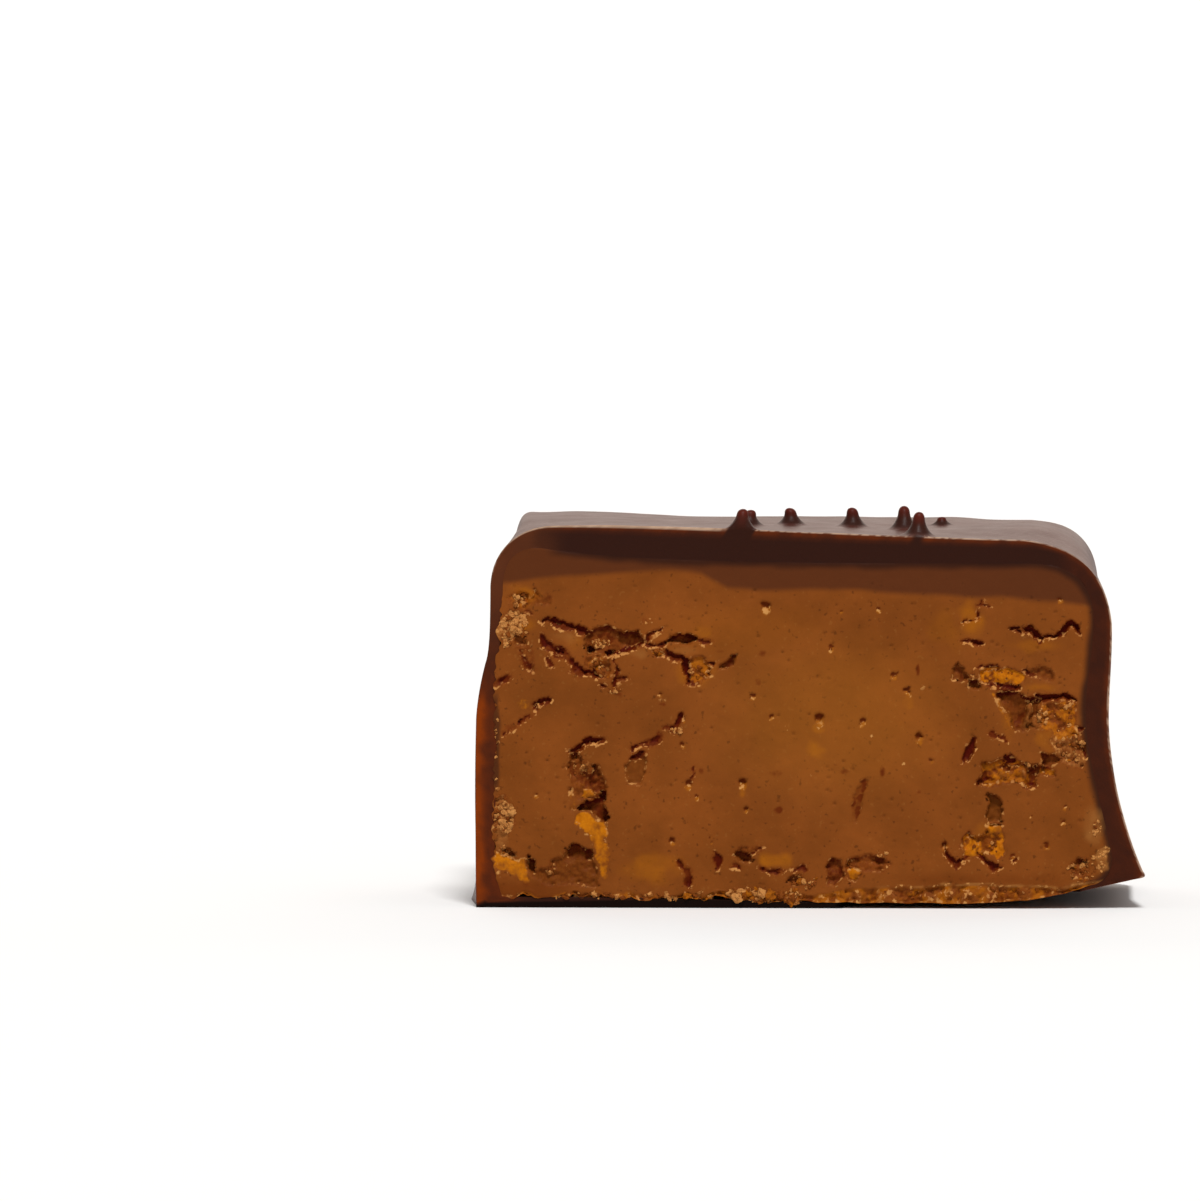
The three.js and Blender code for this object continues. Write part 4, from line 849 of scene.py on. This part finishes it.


# Pits: a depth times a steep step of the distance to the outline. The floor rises in lumps by its
# roughness, with painted highlight on its high lumps and painted shade in its low places, and painted
# shadow below its upper edge; the lip is pale.
def cutPits(face):
    high, low = face.high, face.low
    # Gold, pale and tan lie heavier on high lumps as painted highlight, rust heavier in low places as
    # painted shade.
    covers = {"gold": 0.3 + high, "pale": high, "tan": 0.3 + 0.7 * high, "rust": 0.4 + 0.6 * low}
    for outline, deep, roughness, shares in cutFace["pits"]:
        distance = insideDistance(face.wx, face.wz, outline)
        inside = step(distance, -0.02, 0.06)
        floor = deep * (1 + 0.4 * face.rough) - 0.3 * roughness * (face.lump - 0.3)
        face.depth = np.maximum(face.depth, inside * floor)
        for name, share in shares.items():
            lay(face, name, inside * share * covers.get(name, 1))
        # Painted shade in the low places of a rough floor.
        lay(face, "deep", 0.25 * roughness * inside * low * (1 - 0.8 * shares.get("tan", 0)))
        # Painted shadow below the pit's upper edge.
        above = insideDistance(face.wx, face.wz + 0.2, outline)
        lay(face, "deep", inside * step(-above, -0.1, 0.1) * min(0.9, 1.8 * deep))
        lay(face, "crumble", (0.2 + 0.35 * roughness) * step(distance, -0.12, 0.02))
        lay(face, "pale", min(0.35, 1.8 * deep) * step(-np.abs(distance), -0.08, -0.02))


# Cracks: a depth times a steep step of a half width less the distance to the line. The half width wavers
# and narrows to the ends; painted shade darkens the crack, most in its upper part, and the lip is pale,
# with a painted highlight added below the line.
def cutCracks(face):
    uneven = 0.9 + 0.5 * noise(face.flat, 0.35, 17) + 0.25 * noise(face.flat, 0.13, 40)
    holes = step(noise(face.flat, 0.3, 29) + 0.4 * noise(face.flat, 0.14, 30), -0.25, 0.15)
    for line, wide, deep, broken in cutFace["cracks"]:
        distance, along = lineDistance(face.wx, face.wz, line)
        upper = lineDistance(face.wx, face.wz - 0.25 * wide, line)[0]
        half = 0.6 * wide * uneven * (0.35 + 0.65 * np.sin(np.pi * np.clip(along, 0, 1)) ** 0.6)
        kept = 1 - broken * (1 - holes)
        inside = step(half - distance, -0.02, 0.05) * kept
        shadow = step(0.75 * half - upper, -0.02, 0.05) * kept
        face.depth = np.maximum(face.depth, 0.3 * deep * inside * (0.4 + 0.6 * shadow))
        lay(face, "rust", inside)
        lay(face, "deep", inside * (0.3 + (0.2 + 0.4 * deep) * shadow))
        lay(face, "crumble", 0.5 * step(half - distance, -0.1, -0.02))
        lip = step(-np.abs(half - distance + 0.03), -0.08, -0.02) * kept
        lay(face, "pale", lip * (0.25 + 0.4 * step(upper - distance, 0, 0.15 * wide)))


# Pores: a depth times a step of the radius less the distance, with painted shade in the upper part and a
# painted highlight, golden and pale, on the lip below.
def cutPores(face):
    for px, pz, radius, deep in cutFace["pores"]:
        distance = np.hypot(face.wx - px, face.wz - pz)
        inside = step(radius - distance, -0.02, 0.5 * radius)
        across, rise = (face.wx - px) / radius, (face.wz - pz) / radius
        face.depth = np.maximum(face.depth, 0.3 * deep * inside)
        lay(face, "rust", inside * step(rise, -0.9, 0.1))
        lay(face, "deep", (0.1 + 0.6 * deep) * inside * step(rise, -0.3, 0.5))
        lip = step(-np.hypot(across - 0.15, rise + 0.85), -1.0, -0.4)
        lay(face, "honeyAndPaintedLip", 0.9 * lip)
        lay(face, "pale", 0.85 * lip)


# Flakes: each takes the place of what lies under it. Its face bulges as the root of the distance from its
# edge, its tints grow towards its upper end as painted highlight, and its upper rim is painted pale as lit.
def setFlakes(face):
    for outline, level, shares in cutFace["flakes"]:
        distance = insideDistance(face.wx, face.wz, outline)
        inside = step(distance, -0.04, 0.08)
        ends = np.array(outline)[:, 1]
        rise = np.clip((face.z - ends.min()) / np.ptp(ends), 0, 1)
        bulge = 0.16 * np.sqrt(np.clip(distance / 0.4, 0, 1))
        face.depth = face.depth * (1 - inside) + inside * (level + 0.1 - bulge + 0.25 * face.rough)
        for name in face.tints:
            face.tints[name] *= 1 - inside
        for name, share in shares.items():
            lay(face, name, inside * share * np.clip(0.55 + 0.45 * rise + 0.6 * face.rough, 0, 1))
        lay(face, "rust", inside * 0.4 * step(-face.rough, 0.1, 0.5) * shares.get("gold", 0))
        lay(face, "pale", 0.5 * step(-np.abs(distance - 0.04), -0.1, -0.02) * step(rise, 0.3, 0.8))
        lay(face, "crumble", 0.25 * inside)


# Patches: a tint that fades from its middle to its reach, with an uneven edge.
def tintPatches(face):
    uneven = noise(face.flat, 0.5, 18)
    for name, spots in cutFace["patches"].items():
        for px, pz, reachX, reachZ, strength in spots:
            near = np.hypot((face.x - px) / reachX, (face.z - pz) / reachZ)
            near += 0.4 / max(1.0, reachX) * uneven
            speckled = np.clip(0.85 + 0.7 / max(1.0, 1.5 * reachX) * face.rough, 0, 1.2)
            lay(face, name, strength * step(-near, -1.1, -0.2) * speckled)


# The smear: chocolate that the knife drew down over the praline, a tint above a wavering line.
def smearTop(face):
    line = np.interp(face.x, *np.array(cutFace["smearEdge"]).T) + 0.06 * noise(face.flat, 1.2, 20)
    face.tints["smear"] = 0.95 * step(face.z - line, -0.16, 0.16)


# The torn strip along the base: lumpy and golden below a wavering line, which is pale at the right. Rust
# lies in random patches and, as painted shade, in its low places; pale on its high lumps is painted
# highlight. The praline above it is darker at both ends.
def tearBase(face):
    line = np.interp(face.x, *np.array(cutFace["tornEdge"]).T) + 0.08 * noise(face.flat, 0.6, 19)
    torn = step(line - face.z, 0, 0.1)
    face.depth = np.maximum(face.depth, torn * (0.2 - 0.24 * face.lump))
    lay(face, "honeyAndPaintedLip", torn * step(face.rough, -0.5, 0.3))
    lay(face, "rust", torn * np.maximum(0.5 * face.low, 0.5 * step(noise(face.flat, 0.45, 41), 0.1, 0.5)))
    lay(face, "crumble", 0.3 * torn)
    edgeLine = step(-np.abs(line - face.z + 0.02), -0.09, -0.02) * step(face.x, 2.5, 4.5)
    lay(face, "tan", 0.7 * edgeLine * step(face.rough, -0.4, 0.2))
    lay(face, "pale", 0.4 * np.maximum(edgeLine, torn * step(face.lump, 0.45, 0.6)))
    lowLeft = 0.7 * step(-face.x, 8.5, 11.0) * step(1.4 - face.z, 0, 0.6)
    lowRight = 0.4 * step(face.x, 3.0, 6.0) * step(-face.x, -11.5, -10.5) * step(1.7 - face.z, 0, 0.5)
    face.tints["shadeLow"] = np.maximum(lowLeft, lowRight * (1 - torn))


# Depth of the cut face behind the knife's plane, and the shares of its tints, at places on the cut. Edges
# are ragged because the forms read each place moved by noise and by a random shift of its grain and chip.
# Of forms that overlap, the deepest counts. Lumps are noise of three sizes.
def relief(x, z):
    face = SimpleNamespace(x=x, z=z, depth=np.zeros(x.shape))
    face.flat = np.stack([x, np.zeros(x.shape), z], axis=-1)
    shift = 1.5 * (grains(x, z, cutFace["grain"], 11) + grains(x, z, cutFace["chip"], 12) - 1)
    face.wx = x + cutFace["jag"] * (noise(face.flat, 0.5, 13) + shift[..., 0])
    face.wz = z + cutFace["jag"] * (noise(face.flat, 0.5, 14) + shift[..., 1])
    lump = 0.45 * noise(face.flat, 0.42, 42) + 0.35 * noise(face.flat, 0.22, 43)
    face.lump = np.clip(0.5 + lump + 0.3 * noise(face.flat, 0.1, 45), 0, 1)
    face.rough = 0.6 * noise(face.flat, 0.5, 27) + 0.4 * noise(face.flat, 0.2, 28)
    face.high, face.low = step(face.lump, 0.2, 0.5), step(-face.lump, -0.38, -0.16)
    names = ("honeyAndPaintedLip", "tan", "khaki", "rust", "gold", "deep", "crumble", "pale")
    face.tints = {name: np.zeros(x.shape) for name in names}
    for draw in (cutPits, cutCracks, cutPores, setFlakes, tintPatches, smearTop, tearBase):
        draw(face)
    return face.depth, face.tints


# Small pores scattered over the face: shallow dents, each a step of the radius less the distance.
def addFinePores(depth, x, z):
    fine = cutFace["finePores"]
    random = np.random.default_rng(21)
    places = random.uniform((-12.0, 1.0), (11.8, 13.8), (fine["count"], 2))
    radii = random.uniform(fine["small"], fine["large"], fine["count"])
    for (px, pz), radius in zip(places, radii):
        near = (np.abs(x - px) < 0.3) & (np.abs(z - pz) < 0.3)
        dent = 1.6 * radius * step(radius - np.hypot(x[near] - px, z[near] - pz), -0.03, radius)
        depth[near] = np.maximum(depth[near], dent)


# Points spaced evenly by length along a line of points.
def evenly(points, count):
    reached = np.concatenate([[0], np.cumsum(np.hypot(*np.diff(points, axis=0).T))])
    wanted = np.linspace(0, reached[-1], count)
    return np.stack([np.interp(wanted, reached, points[:, i]) for i in (0, 1)], axis=-1)


# A grid that fills four joined sides: the sum of the two blends between opposite sides, less the blend of
# the corners.
def fillSides(left, right, bottom, top):
    s = np.linspace(0, 1, len(bottom))[None, :, None]
    t = np.linspace(0, 1, len(left))[:, None, None]
    across = left[:, None] * (1 - s) + right[:, None] * s
    upward = bottom[None] * (1 - t) + top[None] * t
    corners = (bottom[0] * (1 - s) + bottom[-1] * s) * (1 - t) + (top[0] * (1 - s) + top[-1] * s) * t
    return across + upward - corners


# A grid over the cut, whose four sides run along the praline's outline from corner to corner.
def cutGrid():
    perCurve = 60
    fine = np.arange(perCurve) / perCurve
    loop = bezierPath(*filling["outline"], [fine] * len(filling["outline"][1]))
    topLeft, topRight, footRight = [number * perCurve + perCurve // 2 for number in filling["corners"]]
    columns, rows = filling["cells"]
    left = evenly(loop[:topLeft + 1], rows)
    top = evenly(loop[topLeft:topRight + 1], columns)
    right = evenly(loop[topRight:footRight + 1][::-1], rows)
    bottom = evenly(np.vstack([loop[footRight:], loop[:1]])[::-1], columns)
    return loop, fillSides(left, right, bottom, top)


# Makes the foot and the left side of the cut ragged: noise moves the points there, less with the distance
# from the edge, and they stand out a little.
def roughenSides(x, z, depth, flat):
    rows, columns = x.shape
    up, across = np.linspace(0, 1, rows)[:, None], np.linspace(0, 1, columns)[None]
    foot = step(0.05 - up, 0, 0.05) * step(np.abs(x), 12.4, 11.8)
    ragged = 0.13 * noise(flat, 1.1, 31) + 0.16 * noise(flat, 0.5, 32) + 0.08 * noise(flat, 0.16, 33)
    z += foot * step(-x, -2.5, 1.0) * (0.03 + ragged)
    z += foot * 0.05 * noise(flat, 0.5, 36)
    side = step(0.025 - across, 0, 0.025) * step(z, 0.8, 1.4) * step(13.2 - z, 0, 0.6)
    x -= side * (0.06 + 0.12 * noise(flat, 0.5, 38) + 0.08 * noise(flat, 0.17, 39))
    depth -= 0.04 * np.maximum(foot, side)


# Tints by the shape: painted highlight, pale, where the relief faces up to the light, painted shade where
# it faces down, and stained along the coat.
def tintByShape(tints, x, z, depth, flat, loop):
    rowHeight = 0.064  # mm from row to row
    rise = np.gradient(depth, axis=0) / rowHeight
    patchy = 0.5 + 0.5 * noise(flat, 0.3, 37)
    lit = 0.6 * patchy * step(rise, 0.3, 1.2) * step(0.4 - depth, 0, 0.3)
    tints["pale"] = np.maximum(tints["pale"], lit)
    tints["deep"] = np.maximum(tints["deep"], 0.3 * step(-rise, 0.5, 1.8))
    inward = insideDistance(x, z, loop[::5]) + 0.06 * noise(flat, 0.7, 26)
    strength = 0.95 * np.maximum(step(z, 13.0, 14.0) * step(x, -10.8, -9.8), step(x, 10.0, 11.0))
    seam = 0.7 * step(-x, 11.8, 12.2) * step(z, 4.6, 5.2) * step(9.2 - z, 0, 0.6)
    stain = strength * step(-inward, -0.38, -0.02) * step(z, 0.6, 1.2)
    tints["stain"] = np.maximum(stain, seam * step(-inward, -0.16, -0.02))


# The praline is one closed surface: the cut face as a fine grid pushed in by the relief, then a skirt of
# shrinking sections to the back.
def buildFilling():
    loop, grid = cutGrid()
    rows, columns = grid.shape[:2]
    x, z = grid[..., 0], grid[..., 1]
    flat = np.stack([x, np.zeros(x.shape), z], axis=-1)
    depth, tints = relief(x, z)
    addFinePores(depth, x, z)
    depth += 0.012 * noise(flat, 0.3, 22) + 0.03 * noise(flat, 2.5, 23)
    border = np.ones(x.shape, bool)
    border[1:-1, 1:-1] = False
    depth[border] = 0
    roughenSides(x, z, depth, flat)
    tintByShape(tints, x, z, depth, flat, loop)
    front = np.stack([x, depth, z], axis=-1)

    index = np.arange(rows * columns).reshape(rows, columns)
    ring = np.concatenate([index[0], index[1:, -1], index[-1, -2::-1], index[-2:0:-1, 0]])
    edge = front.reshape(-1, 3)[ring]
    raised = np.stack([edge[:, 0], np.maximum(edge[:, 2], filling["base"])], axis=-1)
    skirt = [section(edge[:, [0, 2]], 0.4)]
    skirt += [section(raised, along, inset) for along, inset in filling["skirt"]]
    points = np.concatenate([front.reshape(-1, 3), *skirt])
    faces = gridFaces(rows, columns, False)
    start = rows * columns
    count = len(ring)
    belts = np.concatenate([ring[None], start + np.arange(len(skirt) * count).reshape(len(skirt), count)])
    near, far = belts[:-1], belts[1:]
    sides = np.stack([near, far, np.roll(far, -1, axis=1), np.roll(near, -1, axis=1)], axis=-1)
    faces += sides.reshape(-1, 4).tolist()
    faces.append(belts[-1][::-1].tolist())
    attributes = {}
    for name, values in tints.items():
        attributes[name] = np.concatenate([values.ravel(), np.zeros(len(skirt) * count)])
    return addPiece("praline_filling", points, faces, attributes, pralineFinish, creased=ring)


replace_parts(buildFilling(), "filling")
print("filling built")

# Crumbs in the torn places: middle, reach along x and z, count, size, and their golden and pale shares.
# A single one lies in the middle at its full size.
crumbs = {
    "zones": [
        (-11.9, 11.9, 0.5, 0.45, 130, 0.08, 0.05, 0.85),
        (-12.2, 11.3, 0.2, 0.4, 50, 0.075, 0.0, 0.85),
        (-11.5, 11.0, 0.3, 0.6, 24, 0.05, 0.1, 0.4),
        (-12.25, 3.85, 0.3, 0.75, 70, 0.08, 0.0, 0.8),
        (-12.35, 2.35, 0.2, 0.2, 24, 0.06, 0.1, 0.6),
        (-12.62, 7.6, 0.1, 1.6, 34, 0.05, 0.0, 0.6),
        (-12.66, 4.0, 0.1, 1.4, 24, 0.05, 0.0, 0.6),
        (-8.35, 11.02, 0.5, 0.16, 40, 0.065, 0.1, 0.6),
        (-8.35, 10.1, 0.4, 0.4, 36, 0.06, 0.2, 0.3),
        (-7.75, 9.1, 0.3, 0.1, 16, 0.06, 0.1, 0.5),
        (-9.2, 5.9, 0.35, 0.45, 20, 0.06, 0.1, 0.4),
        (-8.75, 5.72, 0.15, 0.1, 10, 0.06, 0.1, 0.6),
        (10.8, 8.0, 0.65, 0.6, 22, 0.06, 0.3, 0.4),
        (11.15, 8.5, 0.3, 0.15, 16, 0.06, 0.1, 0.7),
        (10.02, 8.1, 0.06, 0.4, 16, 0.05, 0.1, 0.7),
        (11.3, 6.7, 0.65, 0.6, 56, 0.055, 0.1, 0.6),
        (9.0, 5.7, 1.2, 0.4, 14, 0.06, 0.3, 0.3),
        (7.8, 2.75, 0.6, 0.5, 10, 0.06, 0.5, 0.1),
        (12.6, 2.0, 0.25, 0.5, 24, 0.06, 0.0, 1.0),
        (12.3, 3.3, 0.3, 0.4, 16, 0.05, 0.0, 0.8),
        (11.6, 1.7, 0.45, 0.4, 34, 0.06, 0.1, 0.4),
        (11.8, 1.2, 0.3, 0.15, 14, 0.06, 0.5, 0.1),
        (0.2, 1.15, 0.6, 0.3, 20, 0.06, 0.1, 0.3),
        (2.15, 1.85, 0.25, 0.2, 14, 0.06, 0.2, 0.4),
        (3.4, 2.3, 0.2, 0.25, 16, 0.05, 0.1, 0.5),
        (-10.0, 1.7, 0.7, 0.3, 14, 0.06, 0.0, 0.5),
        (-11.7, 12.8, 0.4, 0.3, 26, 0.06, 0.0, 0.6),
        (-5.95, 10.65, 0.25, 0.2, 16, 0.06, 0.2, 0.3),
        (-4.2, 9.85, 0.4, 0.3, 16, 0.06, 0.3, 0.2),
        (8.3, 9.7, 0.8, 0.2, 6, 0.06, 0.4, 0.1),
        (7.2, 9.7, 0.15, 0.12, 10, 0.06, 0.0, 0.6),
        (-5.2, 7.42, 0.25, 0.1, 12, 0.06, 0.0, 0.7),
        (-9.0, 0.5, 3.3, 0.12, 60, 0.08, 0.0, 0.4),
        (-5.0, 0.5, 1.4, 0.16, 50, 0.08, 0.1, 0.5),
        (-2.05, 0.53, 1.1, 0.28, 190, 0.075, 0.35, 0.5),
        (-0.25, 0.52, 0.35, 0.26, 60, 0.07, 0.35, 0.4),
        (12.05, 1.75, 0.3, 0.55, 40, 0.055, 0.05, 0.5),
        (-0.5, 0.42, 0.6, 0.2, 40, 0.09, 0.4, 0.3),
        (4.5, 0.55, 3.0, 0.2, 26, 0.06, 0.2, 0.0),
        (9.3, 0.78, 1.6, 0.12, 14, 0.06, 0.2, 0.0),
        (-11.86, 12.66, 0, 0, 1, 0.12, 0, 1), (-11.74, 12.95, 0, 0, 1, 0.08, 0, 1),
        (-5.0, 7.36, 0, 0, 1, 0.12, 0, 1), (-2.65, 0.44, 0, 0, 1, 0.2, 0, 1),
        (-2.3, 0.5, 0, 0, 1, 0.17, 1, 0), (-1.6, 0.64, 0, 0, 1, 0.24, 0, 1),
        (-1.25, 0.55, 0, 0, 1, 0.2, 1, 0), (-0.35, 0.46, 0, 0, 1, 0.18, 1, 0),
        (-4.7, 0.5, 0, 0, 1, 0.17, 1, 0),
    ],
    "around": 10,  # points round each crumb
    "upward": 7,
}


# Crumbs are lumps: each point of a small sphere is pushed in or out by chance, stretched and turned.
def buildCrumbs():
    random = np.random.default_rng(31)
    zones = np.array(crumbs["zones"])
    spread = np.repeat(zones, zones[:, 4].astype(int), axis=0)
    middleX, middleZ, reachX, reachZ, inZone, full, goldShare, paleShare = spread.T
    count = len(spread)
    radius = np.sqrt(random.uniform(0, 1, count))
    angle = random.uniform(0, 2 * np.pi, count)
    x = middleX + reachX * radius * np.cos(angle)
    z = middleZ + reachZ * radius * np.sin(angle)
    size = full * np.where(inZone == 1, 1, 1.9 * random.uniform(0.35, 1.0, count) ** 1.5)
    y = np.where(inZone == 1, 0, relief(x, z)[0] + 0.35 * size)
    around, upward = crumbs["around"], crumbs["upward"]
    turn = np.linspace(0, 2 * np.pi, around, endpoint=False)
    rise = np.linspace(-np.pi / 2, np.pi / 2, upward)
    ball = np.stack([np.outer(np.cos(rise), np.cos(turn)), np.outer(np.cos(rise), np.sin(turn)),
                     np.outer(np.sin(rise), np.ones(around))], axis=-1).reshape(-1, 3)
    lump = ball[None] * random.uniform(0.7, 1.3, (count, len(ball), 1))
    lump[:, :around] = lump[:, :1]
    lump[:, -around:] = lump[:, -1:]
    stretch = random.uniform(0.7, 1.4, (count, 1, 3))
    basis = np.linalg.qr(random.normal(size=(count, 3, 3)))[0]
    basis *= np.sign(np.linalg.det(basis))[:, None, None]
    points = (lump * stretch * size[:, None, None]) @ basis + np.stack([x, y, z], axis=-1)[:, None]
    points[..., 2] = np.maximum(points[..., 2], 0.03)
    kind = random.uniform(0, 1, count)
    gold = np.repeat((kind < goldShare) * random.uniform(0.2, 0.6, count), len(ball))
    paler = 1 + 0.4 * (paleShare > 0.75)
    pale = np.repeat((kind > 1 - paleShare) * paler * random.uniform(0.5, 1.2, count), len(ball))
    ballFaces = np.array(gridFaces(upward, around, True))
    faces = (ballFaces[None] + (np.arange(count) * len(ball))[:, None, None]).reshape(-1, 4).tolist()
    attributes = {"gold": gold, "pale": pale, "tan": 0.9 * pale, "crumble": np.full(len(gold), 0.3)}
    return addPiece("praline_crumbs", points, faces, attributes, pralineFinish, False)


buildCrumbs()
print("crumbs built")

# Studio: a matt white floor, a dim white surround, a soft lamp high in front and a wide panel low behind.
studio = {
    "floor": 8.0,  # half of its side, in m
    "surround": 0.34,
    "sunHeight": 56,  # angles in degrees
    "sunTurn": 10,
    "sunPower": 2.6,
    "sunWidth": 14,
    "panelAt": (0, 3.2, 1.52),  # in m
    "panelSize": (8.8, 2.4),
    "panelPower": 73.6,
}
floorMesh = bpy.data.meshes.new("floor")
reach = studio["floor"]
corners = [(-reach, -reach, 0), (reach, -reach, 0), (reach, reach, 0), (-reach, reach, 0)]
floorMesh.from_pydata(corners, [], [(0, 1, 2, 3)])
floor = bpy.data.objects.new("floor", floorMesh)
bpy.context.scene.collection.objects.link(floor)
floorFinish, _, floorShader, _ = newMaterial("floor, matt white")
floorShader.inputs["Base Color"].default_value = colour("#f4f4f3")
floorShader.inputs["Roughness"].default_value = 1.0
floorShader.inputs["Specular IOR Level"].default_value = 0.0
floorMesh.materials.append(floorFinish)

world = bpy.data.worlds.new("white surround")
world.use_nodes = True
world.node_tree.nodes["Background"].inputs["Color"].default_value = colour("#ffffff")
world.node_tree.nodes["Background"].inputs["Strength"].default_value = studio["surround"]
bpy.context.scene.world = world


# A lamp that shines from a place towards the object.
def addLamp(name, kind, place, settings):
    data = bpy.data.lights.new(name, kind)
    for key, value in settings.items():
        setattr(data, key, value)
    lamp = bpy.data.objects.new(name, data)
    lamp.location = place
    lamp.rotation_mode = "QUATERNION"
    lamp.rotation_quaternion = (-Vector(place)).to_track_quat("-Z", "Y")
    bpy.context.scene.collection.objects.link(lamp)


height, turn = math.radians(studio["sunHeight"]), math.radians(studio["sunTurn"])
sunAt = (math.sin(turn) * math.cos(height), -math.cos(turn) * math.cos(height), math.sin(height))
addLamp("soft sun", "SUN", sunAt, {"energy": studio["sunPower"], "angle": math.radians(studio["sunWidth"])})
panelWide, panelTall = studio["panelSize"]
addLamp("back panel", "AREA", studio["panelAt"], {
    "shape": "RECTANGLE", "size": panelWide, "size_y": panelTall, "energy": studio["panelPower"],
    "color": colour("#ffeada")[:3]})

# Camera: a long lens, a little above the top and a little to the right, as the photo was taken.
view = {
    "azimuth": 2.0,  # angles in degrees
    "elevation": 3.3,
    "distance": 560.0,  # lengths in mm
    "width": 50.0,  # of the picture, at the object
    "aim": (-8.33, 0.0, 12.83),
    "sensor": 36,
}
camera = bpy.data.objects.new("camera", bpy.data.cameras.new("camera"))
camera.data.sensor_width = view["sensor"]
camera.data.lens = view["sensor"] * view["distance"] / view["width"]
camera.data.clip_start = 0.01
camera.data.clip_end = 100
turned, raised = math.radians(view["azimuth"]), math.radians(view["elevation"])
back = Vector((math.sin(turned) * math.cos(raised), -math.cos(turned) * math.cos(raised), math.sin(raised)))
aim = (Vector(view["aim"]) + Vector((-drawnMiddle, cutAt, 0))) * mm
camera.location = aim + back * view["distance"] * mm
camera.rotation_mode = "QUATERNION"
camera.rotation_quaternion = (-back).to_track_quat("-Z", "Y")
bpy.context.scene.collection.objects.link(camera)
bpy.context.scene.camera = camera
bpy.context.scene.view_settings.view_transform = "Standard"
print("studio set")
